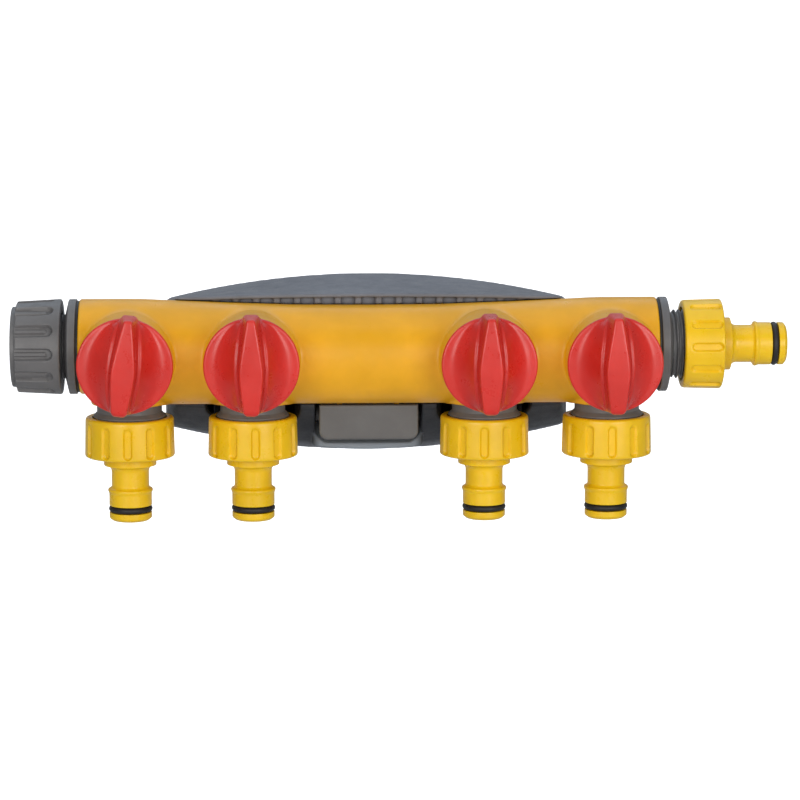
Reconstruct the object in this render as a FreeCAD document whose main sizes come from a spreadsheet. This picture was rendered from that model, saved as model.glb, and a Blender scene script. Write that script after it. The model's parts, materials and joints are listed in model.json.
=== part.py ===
# Four-way hose splitter on a wall bracket: one inlet, four tap-controlled outlets, blanked far end.
# Frame: X along the manifold tube (inlet at +X, the right), Z up, Y = 0 on the wall, front to -Y.
# Z = 0 is the height of the tube's end axis. Millimetres and degrees throughout.
import FreeCAD, Part
import Sketcher
import math
import os

V = FreeCAD.Vector
doc = FreeCAD.newDocument("HoseSplitter")
sheet = doc.addObject("Spreadsheet::Sheet", "Dims")

# Driving dimensions by group. A name that ends in _r is a radius.
SIZES = {
    # outlets are measured from the middle, axis_depth from the wall
    "placing": dict(
        axis_depth=35.0, outlet_inner=44.4, outlet_outer=91.5, valve_height=-3.3,
    ),
    # stations along the tube from the middle; skin radius and centre height at each
    "manifold skin": dict(
        station_near=28.0, station_mid=54.6, station_far=77.0, station_swell=86.0,
        station_neck=99.0, body_half=109.9,
        skin_r_centre=18.85, skin_c_centre=-3.35, skin_r_near=18.95, skin_c_near=-3.25,
        skin_r_mid=19.4, skin_c_mid=-2.8, skin_r_far=19.9, skin_c_far=-2.3,
        skin_r_swell=20.1, skin_c_swell=-2.05,
        end_radius=18.1, wall_thick=3.4, bore_overlap=0.2, trim_half=45.0, trim_long=5.0,
    ),
    # boss distances run forward from the tube axis; low, top and seat are heights
    "valve boss and chamber": dict(
        boss_radius=18.3, boss_face=29.9, boss_well_r=13.5, boss_well_depth=8.9,
        stem_bore_r=5.0, stem_bore_floor=3.0,
        sleeve_r=9.2, sleeve_bore_r=7.65, sleeve_top=6.55, sleeve_seat=4.75, port_r=4.8,
        collar_r=14.6, collar_low=-21.9, collar_top=-13.0, socket_r=12.45, socket_top=-15.5,
    ),
    # catch front and back run forward from the tube axis, key root and reach back from it
    "catch and locating keys": dict(
        catch_half=12.0, catch_front=-9.0, catch_back=-13.0, catch_low=-24.8, catch_top=-19.6,
        key_place=23.34, key_wide=4.8, key_root=17.2, key_reach=26.0, key_tall=10.0,
    ),
    # 3/4 inch parallel pipe thread; half widths of the ridge at tip, root and buried foot
    "thread": dict(
        thread_pitch=1.814, thread_major_r=13.2, thread_core_r=12.06,
        thread_tip_half=0.12, thread_root_half=0.6, thread_foot_half=0.84, edge_bevel=0.8,
    ),
    # heights, except the groove, which is measured down from the nose top
    "outlet spigot": dict(
        spigot_neck_r=12.4, nose_r=7.55, nose_top=-11.35,
        nose_groove_r=6.1, nose_groove_from=1.0, nose_groove_to=2.7,
        spigot_gap=0.05, bead_r=13.9, bead_top=-25.2, bead_low=-27.2, bead_bevel=1.1,
        bead_foot=0.3, spigot_end=-37.6, spigot_bore_r=8.6, spigot_bore_top=-21.0,
        spigot_port_low=-16.5, spigot_thread_low=-36.35, spigot_turns=4.2,
        spigot_seal_r=6.86, spigot_seal_section_r=0.72, outlet_mouth=-27.0,
    ),
    # distances along the tube from the middle
    "end fittings": dict(
        plug_start=106.6, plug_r=14.6, flange_start=111.9, flange_end=114.0, neck_start=115.3,
        fitting_end=130.3, fitting_bore_r=9.5, end_thread_start=116.3, end_turns=7.0,
        seal_gap=0.15, seal_inset=0.35, inlet_mouth=119.7,
    ),
    # distances from the connector's mouth; a sag is how far an arc's middle is from the corner
    "hose tail connector": dict(
        nut_r_mouth=16.8, nut_r_end=17.2, nut_long=15.2, nut_bore_r=13.35, nut_floor=12.8,
        nut_end_round=1.0, nut_end_sag=0.29, mouth_bore_r=14.3, mouth_depth=1.6,
        mouth_taper=0.9, mouth_round=1.6,
        flute_wide=3.0, flute_floor_r=15.95, flute_from=2.8, flute_to=14.0, flute_count=12,
        flute_cut=4.0,
        tail_flange_r=10.05, tail_flange_thick=3.5, tail_flange_bevel=0.3, tail_neck_r=7.15,
        tail_neck_fillet=2.5, ridge_r=8.6, ridge_foot=27.6, ridge_from=28.35, ridge_to=28.95,
        land_r=8.15, land_from=29.5, ring_groove_r=5.95, ring_place=35.7, ring_groove_half=1.35,
        tail_long=40.2, tail_bore_r=4.4, tip_round=1.2, tip_sag=0.35,
        ring_mean_r=7.2, ring_section_r=1.15,
        washer_r=13.15, washer_hole_r=6.5, washer_thick=2.0, washer_gap=0.1,
    ),
    # distances from the cap's open end; cap_phase is its resting turn
    "end cap": dict(
        cap_open=116.6, cap_r_open=18.2, cap_r_shut=17.3, cap_shoulder=17.1, cap_long=19.0,
        cap_shoulder_bevel=0.9, cap_disc_r=15.2, cap_disc_bevel=0.5, cap_floor=15.9,
        cap_groove_wide=4.4, cap_groove_floor_r=16.4, cap_groove_from=2.9, cap_groove_cut=4.0,
        cap_rib_half=0.55, cap_rib_sunk=0.4, cap_rib_thick=0.95, cap_rib_from=1.6,
        cap_rib_gap=0.2, cap_phase=7.5,
    ),
    "ball and seats": dict(
        ball_r=7.0, ball_bore_r=4.6, ball_slot=3.1, ball_slot_floor=4.8, ball_slot_cut=4.0,
        seat_out_r=7.6, seat_in_r=4.8, seat_near=4.0, seat_far=8.0, seat_cone=9.99,
    ),
    # distances in front of the tube axis; grooves run from the start of the journal
    "stem": dict(
        tang_thick=3.0, tang_tip=5.0, tang_root=7.6, tang_half=2.6,
        stem_shaft_r=3.0, journal_from=15.6, journal_r=4.95,
        stem_groove_r=2.95, stem_groove_lead=0.6, stem_groove_step=2.4, stem_groove_wide=2.0,
        stem_ring_r=3.95, stem_ring_section=0.95,
        thrust_r=6.8, thrust_from=21.05, thrust_to=22.6, upper_shaft_r=4.5, upper_shaft_to=30.4,
        square_side=5.0, square_to=37.6,
    ),
    # distances in front of the tube axis; stop_track_over is the extra angle at each end
    "bonnet": dict(
        bonnet_r=13.42, bonnet_from=21.1, bonnet_to=29.5, bonnet_bevel=0.5, bonnet_bore_r=4.6,
        bonnet_recess_r=7.0, bonnet_recess_to=22.75,
        stop_track_r=9.5, stop_track_wide=3.4, stop_track_deep=2.6, stop_track_over=9.6,
        stop_pin_r=1.45, stop_pin_from=27.2, stop_pin_sunk=0.3,
    ),
    # distances in front of the tube axis; first_knob_turn is the first valve's resting turn
    "knob": dict(
        first_knob_turn=6.5, knob_r=18.0, knob_back=30.1, knob_back_bevel=0.5, knob_rim=32.6,
        knob_rim_round=0.7,
        scoop_rise=7.0, scoop_edge=0.6, scoop_inset=0.9, scoop_sunk=0.4, scoop_start=0.05,
        scoop_sag_place=5.2, scoop_sag_rise=1.6, scoop_half=20.0,
        dome_sunk=1.0, dome_mid_part=0.66, dome_mid_rise=0.72, dome_extra=1.2,
        grip_front=44.6, grip_root=0.6, grip_mid_base=6.2, grip_end_base=3.6,
        grip_mid_face=4.25, grip_mid_height=-1.5, grip_top_face=1.75, grip_low_face=2.65,
        grip_reach=19.2, grip_low_reach=17.9, grip_lean=0.7, grip_low_lean=0.5,
        hub_socket_to=38.0, hub_socket_side=5.1, hub_shaft_gap=0.1, hub_end_gap=0.05,
    ),
    # hood outlines: half width, then top and bottom heights at the middle and at the ends
    "wall bracket": dict(
        plate_half=79.0, arch_mid=23.8, arch_end=13.9, keel_mid=-46.2, keel_end=-36.2,
        lip_half=74.0, lip_depth=34.0, lip_mid=19.8, lip_end=18.6, sill_mid=-25.2,
        sill_end=-23.2, shell_thick=2.4, lip_thick=1.5, plate_thick=3.0, hood_overcut=0.05,
        rib_pitch=7.78, rib_thick=2.55, rib_count=18, rib_front=33.2, rib_low=-60.0,
        rib_high=40.0, rib_overhang=5.0, web_from=28.8, web_thick=2.0,
        cradle_gap=0.3, outlet_room=1.0, outlet_room_top=-10.0, outlet_room_low=-70.0,
        cutter_front=60.0,
        screw_place=46.68, screw_height=-4.0, screw_r=2.75, screw_head_r=5.5, screw_seat=1.6,
        screw_hole_front=12.0, screw_hole_back=2.0, post_wall=1.6, post_front=9.0, post_back=1.0,
        key_room=0.25, key_room_front=5.0, key_room_back=0.6, key_room_tall=0.5,
    ),
    # the latch bay and the chin under it; depths run forward from the wall
    "latch bay": dict(
        bay_half=20.6, bay_wall=3.4, bay_low=-41.8, bay_top=-19.0, bay_roof=0.6,
        block_low=-44.2, block_back=0.5,
        chin_root=0.3, chin_back=-45.6, chin_front=-43.3, chin_nose=16.4,
        chin_floor_front=-41.3, chin_floor_back=-37.9, chin_floor_bend=3.5,
    ),
    # fronts and backs are depths from the wall, tops and lows are heights
    "release latch": dict(
        pivot_depth=12.0, pivot_height=-29.5, pivot_r=1.8, pivot_hole_r=1.86, pivot_reach=22.6,
        barrel_r=3.2, barrel_half=20.3,
        paddle_half=19.0, paddle_front=36.0, paddle_thick=2.6, paddle_top=-23.0,
        paddle_low=-36.5, paddle_corner=3.2, arm_half=14.0, arm_thick=3.0, arm_inset=1.0,
        hook_half=10.0, hook_front=29.5, hook_back=26.3, hook_top=-23.3, hook_tip=1.0,
        hook_slope=1.6,
    ),
}
OVERCUT = 1.0  # cutters start this far outside what they cut
JOIN = 0.5  # forms that grow out of another start this far inside it
# gap between a square corner and the middle of its rounding, as a part of the radius
CORNER_SAG = 0.2929
SIDES = (("left", -1.0), ("right", 1.0))
TO_RIGHT = FreeCAD.Rotation(V(0, 1, 0), 90.0)  # local z to +X
TO_LEFT = FreeCAD.Rotation(V(0, 1, 0), -90.0)  # local z to -X
TO_FRONT = FreeCAD.Rotation(V(1, 0, 0), 90.0)  # local z to -Y, local y up


class Size:
    """A length with the sheet expression that gives it."""

    def __init__(self, value, text):
        self.value, self.text = float(value), text

    def __add__(self, other):
        other = size(other)
        return Size(self.value + other.value, "(%s + %s)" % (self.text, other.text))

    def __sub__(self, other):
        other = size(other)
        return Size(self.value - other.value, "(%s - %s)" % (self.text, other.text))

    def __mul__(self, other):
        other = size(other)
        return Size(self.value * other.value, "(%s * %s)" % (self.text, other.text))

    def __truediv__(self, other):
        other = size(other)
        return Size(self.value / other.value, "(%s / %s)" % (self.text, other.text))

    def __neg__(self):
        return Size(-self.value, "(0 - %s)" % self.text)


def size(x):
    return x if isinstance(x, Size) else Size(x, repr(float(x)))


class Dimensions:
    """Holds each driving dimension as a Size under its alias."""


def fill_sheet():
    dims = Dimensions()
    row = 0
    for group, entries in SIZES.items():
        for alias, number in entries.items():
            row += 1
            sheet.set("A%d" % row, group + ": " + alias.replace("_", " "))
            sheet.set("B%d" % row, repr(float(number)))
            sheet.setAlias("B%d" % row, alias)
            setattr(dims, alias, Size(number, "Dims." + alias))
    doc.recompute()
    return dims


dim = fill_sheet()
AXIS_Y = -dim.axis_depth
VALVE_Z = dim.valve_height
PLACES = [-dim.outlet_outer, -dim.outlet_inner, dim.outlet_inner, dim.outlet_outer]
# right half of the skin from the middle out: place along the tube, radius, centre height
HALF_STATIONS = [
    (dim.station_near, dim.skin_r_near, dim.skin_c_near),
    (dim.station_mid, dim.skin_r_mid, dim.skin_c_mid),
    (dim.station_far, dim.skin_r_far, dim.skin_c_far),
    (dim.station_swell, dim.skin_r_swell, dim.skin_c_swell),
    (dim.station_neck, dim.end_radius, 0.0),
]
STATIONS = (
    [(-x, radius, centre) for x, radius, centre in reversed(HALF_STATIONS)]
    + [(0.0, dim.skin_r_centre, dim.skin_c_centre)]
    + HALF_STATIONS
)
FINAL = []


# ---------------------------------------------------------------- objects and placing
def done(obj):
    """Lists a finished piece for export."""
    FINAL.append(obj)
    return obj


def add(kind, name):
    obj = doc.addObject(kind, name)
    obj.Label = name
    return obj


def bind(obj, **lengths):
    for prop, length in lengths.items():
        length = size(length)
        setattr(obj, prop, length.value)
        obj.setExpression(prop, length.text)


def place(obj, x, y, z, turn=FreeCAD.Rotation()):
    x, y, z = size(x), size(y), size(z)
    obj.Placement = FreeCAD.Placement(V(x.value, y.value, z.value), turn)
    for axis, where in (("x", x), ("y", y), ("z", z)):
        if abs(where.value) > 1e-9:
            obj.setExpression(".Placement.Base." + axis, where.text)
    return obj


def place_front(obj, x, angle):
    """On the valve axis at x, facing forward, turned clockwise as seen from the front."""
    spin = FreeCAD.Rotation(V(0, 1, 0), angle).multiply(TO_FRONT)
    return place(obj, x, AXIS_Y, VALVE_Z, spin)


def box(name, x0, x1, y0, y1, z0, z1):
    x0, x1, y0, y1, z0, z1 = [size(edge) for edge in (x0, x1, y0, y1, z0, z1)]
    form = add("Part::Box", name)
    bind(form, Length=x1 - x0, Width=y1 - y0, Height=z1 - z0)
    return place(form, x0, y0, z0)


def cylinder(name, radius, height, x, y, z, turn=FreeCAD.Rotation()):
    form = add("Part::Cylinder", name)
    bind(form, Radius=radius, Height=height)
    return place(form, x, y, z, turn)


def torus(name, mean, section):
    form = add("Part::Torus", name)
    bind(form, Radius1=mean, Radius2=section)
    return form


def combine(kind, name, shapes):
    """Joins shapes (kind MultiFuse) or keeps what they share (kind MultiCommon)."""
    result = add("Part::" + kind, name)
    result.Shapes = shapes
    return result


def cut(name, base, tool):
    result = add("Part::Cut", name)
    result.Base = base
    result.Tool = tool
    return result


def pair(name, links):
    result = add("Part::Compound", name)
    result.Links = links
    return done(result)


# ---------------------------------------------------------------- sketches
def origin_item(body, role):
    return [item for item in body.Origin.OriginFeatures if item.Role == role][0]


def new_body(name):
    return add("PartDesign::Body", name)


def new_sketch(body, name, plane, offset=None):
    """Sketch on an origin plane. XZ sketches face the front, YZ the right and XY up."""
    sketch = body.newObject("Sketcher::SketchObject", name)
    sketch.AttachmentSupport = [(origin_item(body, plane + "_Plane"), "")]
    sketch.MapMode = "FlatFace"
    if offset is not None:
        offset = size(offset)
        sketch.AttachmentOffset = FreeCAD.Placement(V(0, 0, offset.value), FreeCAD.Rotation())
        sketch.setExpression("AttachmentOffset.Base.z", offset.text)
    sketch.Visibility = False
    return sketch


def hold_across(sketch, curve, point, u):
    hold_one(sketch, curve, point, "DistanceX", -2, size(u))


def hold_up(sketch, curve, point, v):
    hold_one(sketch, curve, point, "DistanceY", -1, size(v))


def hold_one(sketch, curve, point, kind, axis, length):
    """Holds a point at a distance from the sketch origin, or on the axis when it is zero."""
    if abs(length.value) < 1e-9:
        sketch.addConstraint(Sketcher.Constraint("PointOnObject", curve, point, axis))
    else:
        rule = Sketcher.Constraint(kind, -1, 1, curve, point, length.value)
        index = sketch.addConstraint(rule)
        sketch.setExpression("Constraints[%d]" % index, length.text)


def add_arc(sketch, start, middle, end):
    """Returns the arc's index, its start and end point numbers, and its centre."""
    centre = Part.Arc(start, middle, end).toShape().Curve.Center
    forward = (middle - start).cross(end - middle).z > 0
    first, last = (start, end) if forward else (end, start)
    angle0 = math.atan2(first.y - centre.y, first.x - centre.x)
    angle1 = math.atan2(last.y - centre.y, last.x - centre.x)
    if angle1 <= angle0:
        angle1 += 2.0 * math.pi
    ring = Part.Circle(centre, V(0, 0, 1), (start - centre).Length)
    index = sketch.addGeometry(Part.ArcOfCircle(ring, angle0, angle1), False)
    return (index, 1, 2, centre) if forward else (index, 2, 1, centre)


def outline(sketch, points):
    """Closed outline. A point is (u, v), or (u, v, (mu, mv)) to start an arc through (mu, mv)."""
    corners = [(size(point[0]), size(point[1])) for point in points]
    following = corners[1:] + corners[:1]
    curves = []
    for point, (u0, v0), (u1, v1) in zip(points, corners, following):
        start, end = V(u0.value, v0.value, 0), V(u1.value, v1.value, 0)
        if len(point) == 3:
            middle = V(size(point[2][0]).value, size(point[2][1]).value, 0)
            curves.append(add_arc(sketch, start, middle, end))
        else:
            index = sketch.addGeometry(Part.LineSegment(start, end), False)
            curves.append((index, 1, 2, None))
    for this, other in zip(curves, curves[1:] + curves[:1]):
        sketch.addConstraint(Sketcher.Constraint("Coincident", this[0], this[2], other[0], other[1]))
    for (curve, start, _, centre), (u0, v0), (u1, v1) in zip(curves, corners, following):
        hold_across(sketch, curve, start, u0)
        hold_up(sketch, curve, start, v0)
        # the centre lies on the chord's mid-line, so one of its two distances fixes the arc
        if centre is not None:
            if abs(u1.value - u0.value) > abs(v1.value - v0.value):
                hold_up(sketch, curve, 3, centre.y)
            else:
                hold_across(sketch, curve, 3, centre.x)
    return sketch


def circle(sketch, u, v, radius):
    u, v, radius = size(u), size(v), size(radius)
    ring = Part.Circle(V(u.value, v.value, 0), V(0, 0, 1), radius.value)
    curve = sketch.addGeometry(ring, False)
    hold_across(sketch, curve, 3, u)
    hold_up(sketch, curve, 3, v)
    index = sketch.addConstraint(Sketcher.Constraint("Radius", curve, radius.value))
    sketch.setExpression("Constraints[%d]" % index, radius.text)
    return sketch


def rectangle(sketch, u0, u1, v0, v1):
    return outline(sketch, [(u0, v0), (u1, v0), (u1, v1), (u0, v1)])


# ---------------------------------------------------------------- features
def revolve(body, name, points):
    """Turns an outline of (radius, height) points round the body's z axis."""
    sketch = outline(new_sketch(body, name + "_profile", "XZ"), points)
    feature = body.newObject("PartDesign::Revolution", name)
    feature.Profile = sketch
    feature.ReferenceAxis = (sketch, ["V_Axis"])
    feature.Angle = 360.0
    doc.recompute()


def pad(body, sketch, name, length, back=False, mid=False):
    feature = body.newObject("PartDesign::Pad", name)
    feature.Profile = sketch
    bind(feature, Length=length)
    feature.Reversed = back
    feature.Midplane = mid
    doc.recompute()
    return feature


def pocket(body, sketch, name, depth, back=False):
    """Cuts against the sketch normal by depth, or along it when back is set."""
    doc.recompute()
    before = body.Shape.Volume
    feature = body.newObject("PartDesign::Pocket", name)
    feature.Profile = sketch
    bind(feature, Length=depth)
    feature.Reversed = back
    doc.recompute()
    if not before - body.Shape.Volume > 1e-3:
        raise RuntimeError("%s removes nothing from %s" % (name, body.Label))
    return feature


def around(body, feature, name):
    """Repeats a feature round the z axis, once for each flute."""
    pattern = body.newObject("PartDesign::PolarPattern", name)
    pattern.Originals = [feature]
    pattern.Axis = (origin_item(body, "Z_Axis"), [""])
    pattern.Angle = 360.0
    pattern.Occurrences = int(dim.flute_count.value)
    pattern.setExpression("Occurrences", dim.flute_count.text)
    body.Tip = pattern
    doc.recompute()


def loft(body, name, sketches, kind="AdditiveLoft", ruled=True):
    feature = body.newObject("PartDesign::" + kind, name)
    feature.Profile = sketches[0]
    feature.Sections = sketches[1:]
    feature.Ruled = ruled
    doc.recompute()


def thread(body, low, turns):
    """Right-hand 55 degree ridge wound round the core, going up from low."""
    core, top = dim.thread_core_r, dim.thread_major_r
    foot, root, tip = dim.thread_foot_half, dim.thread_root_half, dim.thread_tip_half
    sketch = outline(new_sketch(body, "male_thread_profile", "XZ"), [
        (core - JOIN, low - foot), (core, low - root), (top, low - tip),
        (top, low + tip), (core, low + root), (core - JOIN, low + foot),
    ])
    feature = body.newObject("PartDesign::AdditiveHelix", "male_thread")
    feature.Profile = sketch
    feature.ReferenceAxis = (sketch, ["V_Axis"])
    feature.Mode = 0
    bind(feature, Pitch=dim.thread_pitch, Height=dim.thread_pitch * turns)
    feature.LeftHanded = False
    feature.Reversed = False
    doc.recompute()


def tube_loft(body, name, grow, kind="AdditiveLoft"):
    """Smooth loft through the skin stations, with every radius larger by grow."""
    sketches = []
    for number, (x, radius, centre) in enumerate(STATIONS, start=1):
        sketch = new_sketch(body, "%s_station_%d" % (name, number), "YZ", x)
        sketches.append(circle(sketch, 0.0, centre, radius + grow))
    loft(body, name, sketches, kind, ruled=False)


# ---------------------------------------------------------------- manifold body
def four_rounds(body, name, plane, offset, v, radius):
    """Sketch with one circle at each outlet."""
    sketch = new_sketch(body, name, plane, offset)
    for x in PLACES:
        circle(sketch, x, v, radius)
    return sketch


def make_manifold():
    body = new_body("manifold_body")
    place(body, 0.0, AXIS_Y, 0.0)
    tube_loft(body, "skin", 0.0)
    end_long = dim.body_half - dim.station_neck
    for side, sign in SIDES:
        sketch = new_sketch(body, side + "_end_face", "YZ", dim.station_neck * sign)
        circle(sketch, 0.0, 0.0, dim.end_radius)
        pad(body, sketch, side + "_end", end_long, back=sign < 0)

    rounds = four_rounds(body, "boss_rounds", "XZ", None, VALVE_Z, dim.boss_radius)
    bosses = pad(body, rounds, "valve_bosses", dim.boss_face)
    boss_taper, tallest = 1.1, 21.0
    bosses.TaperAngle = -boss_taper
    doc.recompute()
    # the taper is turned the other way if the body's bounding box comes out too tall
    if body.Shape.BoundBox.ZMax > tallest:
        bosses.TaperAngle = boss_taper
        doc.recompute()

    tube_loft(body, "water_way", -dim.wall_thick, "SubtractiveLoft")
    for side, sign in SIDES:
        sketch = new_sketch(body, side + "_bore_round", "YZ", dim.body_half * sign)
        circle(sketch, 0.0, 0.0, dim.end_radius - dim.wall_thick)
        pocket(body, sketch, side + "_bore", end_long + dim.bore_overlap, back=sign < 0)

    # upright solids at each outlet: name, low, high, radius
    for name, low, high, radius in (
        ("outlet_collars", dim.collar_low, dim.collar_top, dim.collar_r),
        ("valve_sleeves", dim.collar_top, dim.sleeve_top, dim.sleeve_r),
    ):
        rounds = four_rounds(body, name + "_rounds", "XY", low, 0.0, radius)
        pad(body, rounds, name, high - low)
    # upright bores at each outlet: name, low, high, radius
    for name, low, high, radius in (
        ("outlet_sockets", dim.collar_low - OVERCUT * 2.0, dim.socket_top, dim.socket_r),
        ("ball_chambers", dim.socket_top - OVERCUT, dim.sleeve_seat, dim.sleeve_bore_r),
        ("top_ports", dim.sleeve_seat - OVERCUT, dim.sleeve_top + OVERCUT / 2.0, dim.port_r),
    ):
        rounds = four_rounds(body, name + "_rounds", "XY", low, 0.0, radius)
        pocket(body, rounds, name, high - low, back=True)
    # bores from the boss faces towards the wall: name, radius, depth
    for name, radius, depth in (
        ("stem_bores", dim.stem_bore_r, dim.boss_face - dim.stem_bore_floor),
        ("boss_wells", dim.boss_well_r, dim.boss_well_depth),
    ):
        rounds = four_rounds(body, name + "_rounds", "XZ", dim.boss_face, VALVE_Z, radius)
        pocket(body, rounds, name, depth)

    # whatever stands out past the tube ends is cut away
    half = dim.trim_half
    for side, sign in reversed(SIDES):
        sketch = new_sketch(body, side + "_end_trim_outline", "YZ", dim.body_half * sign)
        rectangle(sketch, -half, half, -half, half)
        pocket(body, sketch, side + "_end_trim", dim.trim_long, back=sign > 0)

    # catch lug under the middle, and two keys at the back that sit between bracket ribs
    sketch = new_sketch(body, "catch_outline", "YZ")
    rectangle(sketch, -dim.catch_front, -dim.catch_back, dim.catch_low, dim.catch_top)
    pad(body, sketch, "catch_lug", dim.catch_half * 2.0, mid=True)
    sketch = new_sketch(body, "key_outlines", "XZ", -dim.key_reach)
    wide, tall = dim.key_wide / 2.0, dim.key_tall / 2.0
    for _, sign in SIDES:
        centre = dim.key_place * sign
        rectangle(sketch, centre - wide, centre + wide, VALVE_Z - tall, VALVE_Z + tall)
    pad(body, sketch, "locating_keys", dim.key_reach - dim.key_root)
    done(body)


# ---------------------------------------------------------------- end fittings, seals, cap
def make_end_fitting(side, turn):
    body = new_body(side + "_end_fitting")
    bevel = dim.edge_bevel
    revolve(body, "turned", [
        (dim.fitting_bore_r, dim.plug_start), (dim.plug_r - bevel, dim.plug_start),
        (dim.plug_r, dim.plug_start + bevel), (dim.plug_r, dim.flange_start),
        (dim.end_radius, dim.flange_start), (dim.end_radius, dim.flange_end),
        (dim.thread_core_r, dim.neck_start), (dim.thread_core_r, dim.fitting_end - bevel),
        (dim.thread_core_r - bevel, dim.fitting_end), (dim.fitting_bore_r, dim.fitting_end),
    ])
    thread(body, dim.end_thread_start, dim.end_turns)
    done(place(body, 0.0, AXIS_Y, 0.0, turn))


def make_end_seal(side, turn):
    body = new_body(side + "_end_seal")
    inside, outside = dim.plug_r + dim.seal_gap, dim.end_radius - dim.seal_inset
    revolve(body, "ring", [
        (inside, dim.body_half), (outside, dim.body_half),
        (outside, dim.flange_start), (inside, dim.flange_start),
    ])
    done(place(body, 0.0, AXIS_Y, 0.0, turn))


def make_end_cap():
    body = new_body("end_cap")
    wide, shut, disc = dim.cap_r_open, dim.cap_r_shut, dim.cap_disc_r
    bevel, shoulder_bevel, disc_bevel = dim.edge_bevel, dim.cap_shoulder_bevel, dim.cap_disc_bevel
    revolve(body, "turned", [
        (dim.nut_bore_r, 0.0), (wide - bevel, 0.0), (wide, bevel),
        (shut, dim.cap_shoulder - shoulder_bevel), (shut - shoulder_bevel, dim.cap_shoulder),
        (disc, dim.cap_shoulder), (disc, dim.cap_long - disc_bevel),
        (disc - disc_bevel, dim.cap_long), (0.0, dim.cap_long),
        (0.0, dim.cap_floor), (dim.nut_bore_r, dim.cap_floor),
    ])
    # grooves with a round end, open at the shut end of the cap
    sketch = new_sketch(body, "groove_outline", "XZ", dim.cap_groove_floor_r)
    half = dim.cap_groove_wide / 2.0
    start, end = dim.cap_groove_from + half, dim.cap_long + OVERCUT
    outline(sketch, [
        (half, start), (half, end), (-half, end), (-half, start, (0.0, dim.cap_groove_from)),
    ])
    groove = pocket(body, sketch, "grip_groove", dim.cap_groove_cut, back=True)
    around(body, groove, "grip_grooves")
    # a thin rib along each groove floor
    floor = dim.cap_groove_floor_r - dim.cap_rib_sunk
    sketch = new_sketch(body, "groove_rib_outline", "XZ", floor)
    rectangle(sketch, -dim.cap_rib_half, dim.cap_rib_half,
              dim.cap_groove_from + dim.cap_rib_from, dim.cap_shoulder - dim.cap_rib_gap)
    around(body, pad(body, sketch, "groove_rib", dim.cap_rib_thick), "groove_ribs")
    turn = TO_LEFT.multiply(FreeCAD.Rotation(V(0, 0, 1), dim.cap_phase.value))
    done(place(body, -dim.cap_open, AXIS_Y, 0.0, turn))


# ---------------------------------------------------------------- hose connectors
def make_washer(name):
    body = new_body(name)
    inside, outside, thick = dim.washer_hole_r, dim.washer_r, dim.washer_thick
    revolve(body, "ring", [(inside, 0.0), (outside, 0.0), (outside, thick), (inside, thick)])
    return done(body)


def make_nose_ring(name):
    return done(torus(name, dim.ring_mean_r, dim.ring_section_r))


def make_connector(name):
    """Union nut with a quick-connect hose nose; local z = 0 at the mouth, running to -z."""
    body = new_body(name)
    mouth, mouth_round, bevel = dim.nut_r_mouth, dim.mouth_round, dim.edge_bevel
    nut, nut_round, nut_sag = dim.nut_r_end, dim.nut_end_round, dim.nut_end_sag
    flange, neck, land = dim.tail_flange_r, dim.tail_neck_r, dim.land_r
    nut_end, tail_end, ring, ring_half = (
        dim.nut_long, dim.tail_long, dim.ring_place, dim.ring_groove_half)
    flange_end, fillet = nut_end + dim.tail_flange_thick, dim.tail_neck_fillet
    sag = mouth_round * CORNER_SAG
    fillet_sag = fillet * CORNER_SAG
    revolve(body, "turned", [
        (dim.tail_bore_r, -dim.nut_floor), (dim.nut_bore_r, -dim.nut_floor),
        (dim.nut_bore_r, -dim.mouth_depth - dim.mouth_taper),
        (dim.mouth_bore_r, -dim.mouth_depth), (dim.mouth_bore_r, 0.0),
        (mouth - mouth_round, 0.0, (mouth - sag, -sag)), (mouth, -mouth_round),
        (nut, -(nut_end - nut_round), (nut - nut_sag, -(nut_end - nut_sag))),
        (nut - nut_round, -nut_end), (flange, -nut_end),
        (flange, -(flange_end - dim.tail_flange_bevel)),
        (flange - dim.tail_flange_bevel, -flange_end),
        (neck + fillet, -flange_end, (neck + fillet_sag, -(flange_end + fillet_sag))),
        (neck, -(flange_end + fillet)), (neck, -dim.ridge_foot),
        (dim.ridge_r, -dim.ridge_from), (dim.ridge_r, -dim.ridge_to), (land, -dim.land_from),
        (land, -(ring - ring_half)), (dim.ring_groove_r, -(ring - ring_half)),
        (dim.ring_groove_r, -(ring + ring_half)), (land, -(ring + ring_half)),
        (land, -(tail_end - dim.tip_round), (land - dim.tip_sag, -(tail_end - dim.tip_sag))),
        (land - dim.tip_round, -tail_end), (dim.tail_bore_r + bevel, -tail_end),
        (dim.tail_bore_r, -(tail_end - bevel)),
    ])
    sketch = new_sketch(body, "flute_outline", "XZ", dim.flute_floor_r)
    half, low, high = dim.flute_wide / 2.0, -dim.flute_to, -dim.flute_from
    outline(sketch, [
        (half, low + half), (half, high - half, (0.0, high)),
        (-half, high - half), (-half, low + half, (0.0, low)),
    ])
    around(body, pocket(body, sketch, "flute", dim.flute_cut, back=True), "flutes")
    return done(body)


def make_tube_ends():
    for side, turn in (("left", TO_LEFT), ("right", TO_RIGHT)):
        make_end_fitting(side, turn)
        make_end_seal(side, turn)
    make_end_cap()
    washer_x = dim.fitting_end + dim.washer_gap
    place(make_washer("end_cap_washer"), -washer_x, AXIS_Y, 0.0, TO_LEFT)
    place(make_washer("inlet_washer"), washer_x, AXIS_Y, 0.0, TO_RIGHT)
    place(make_connector("inlet_connector"), dim.inlet_mouth, AXIS_Y, 0.0, TO_LEFT)
    ring_x = dim.inlet_mouth + dim.ring_place
    place(make_nose_ring("inlet_nose_oring"), ring_x, AXIS_Y, 0.0, TO_RIGHT)


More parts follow.
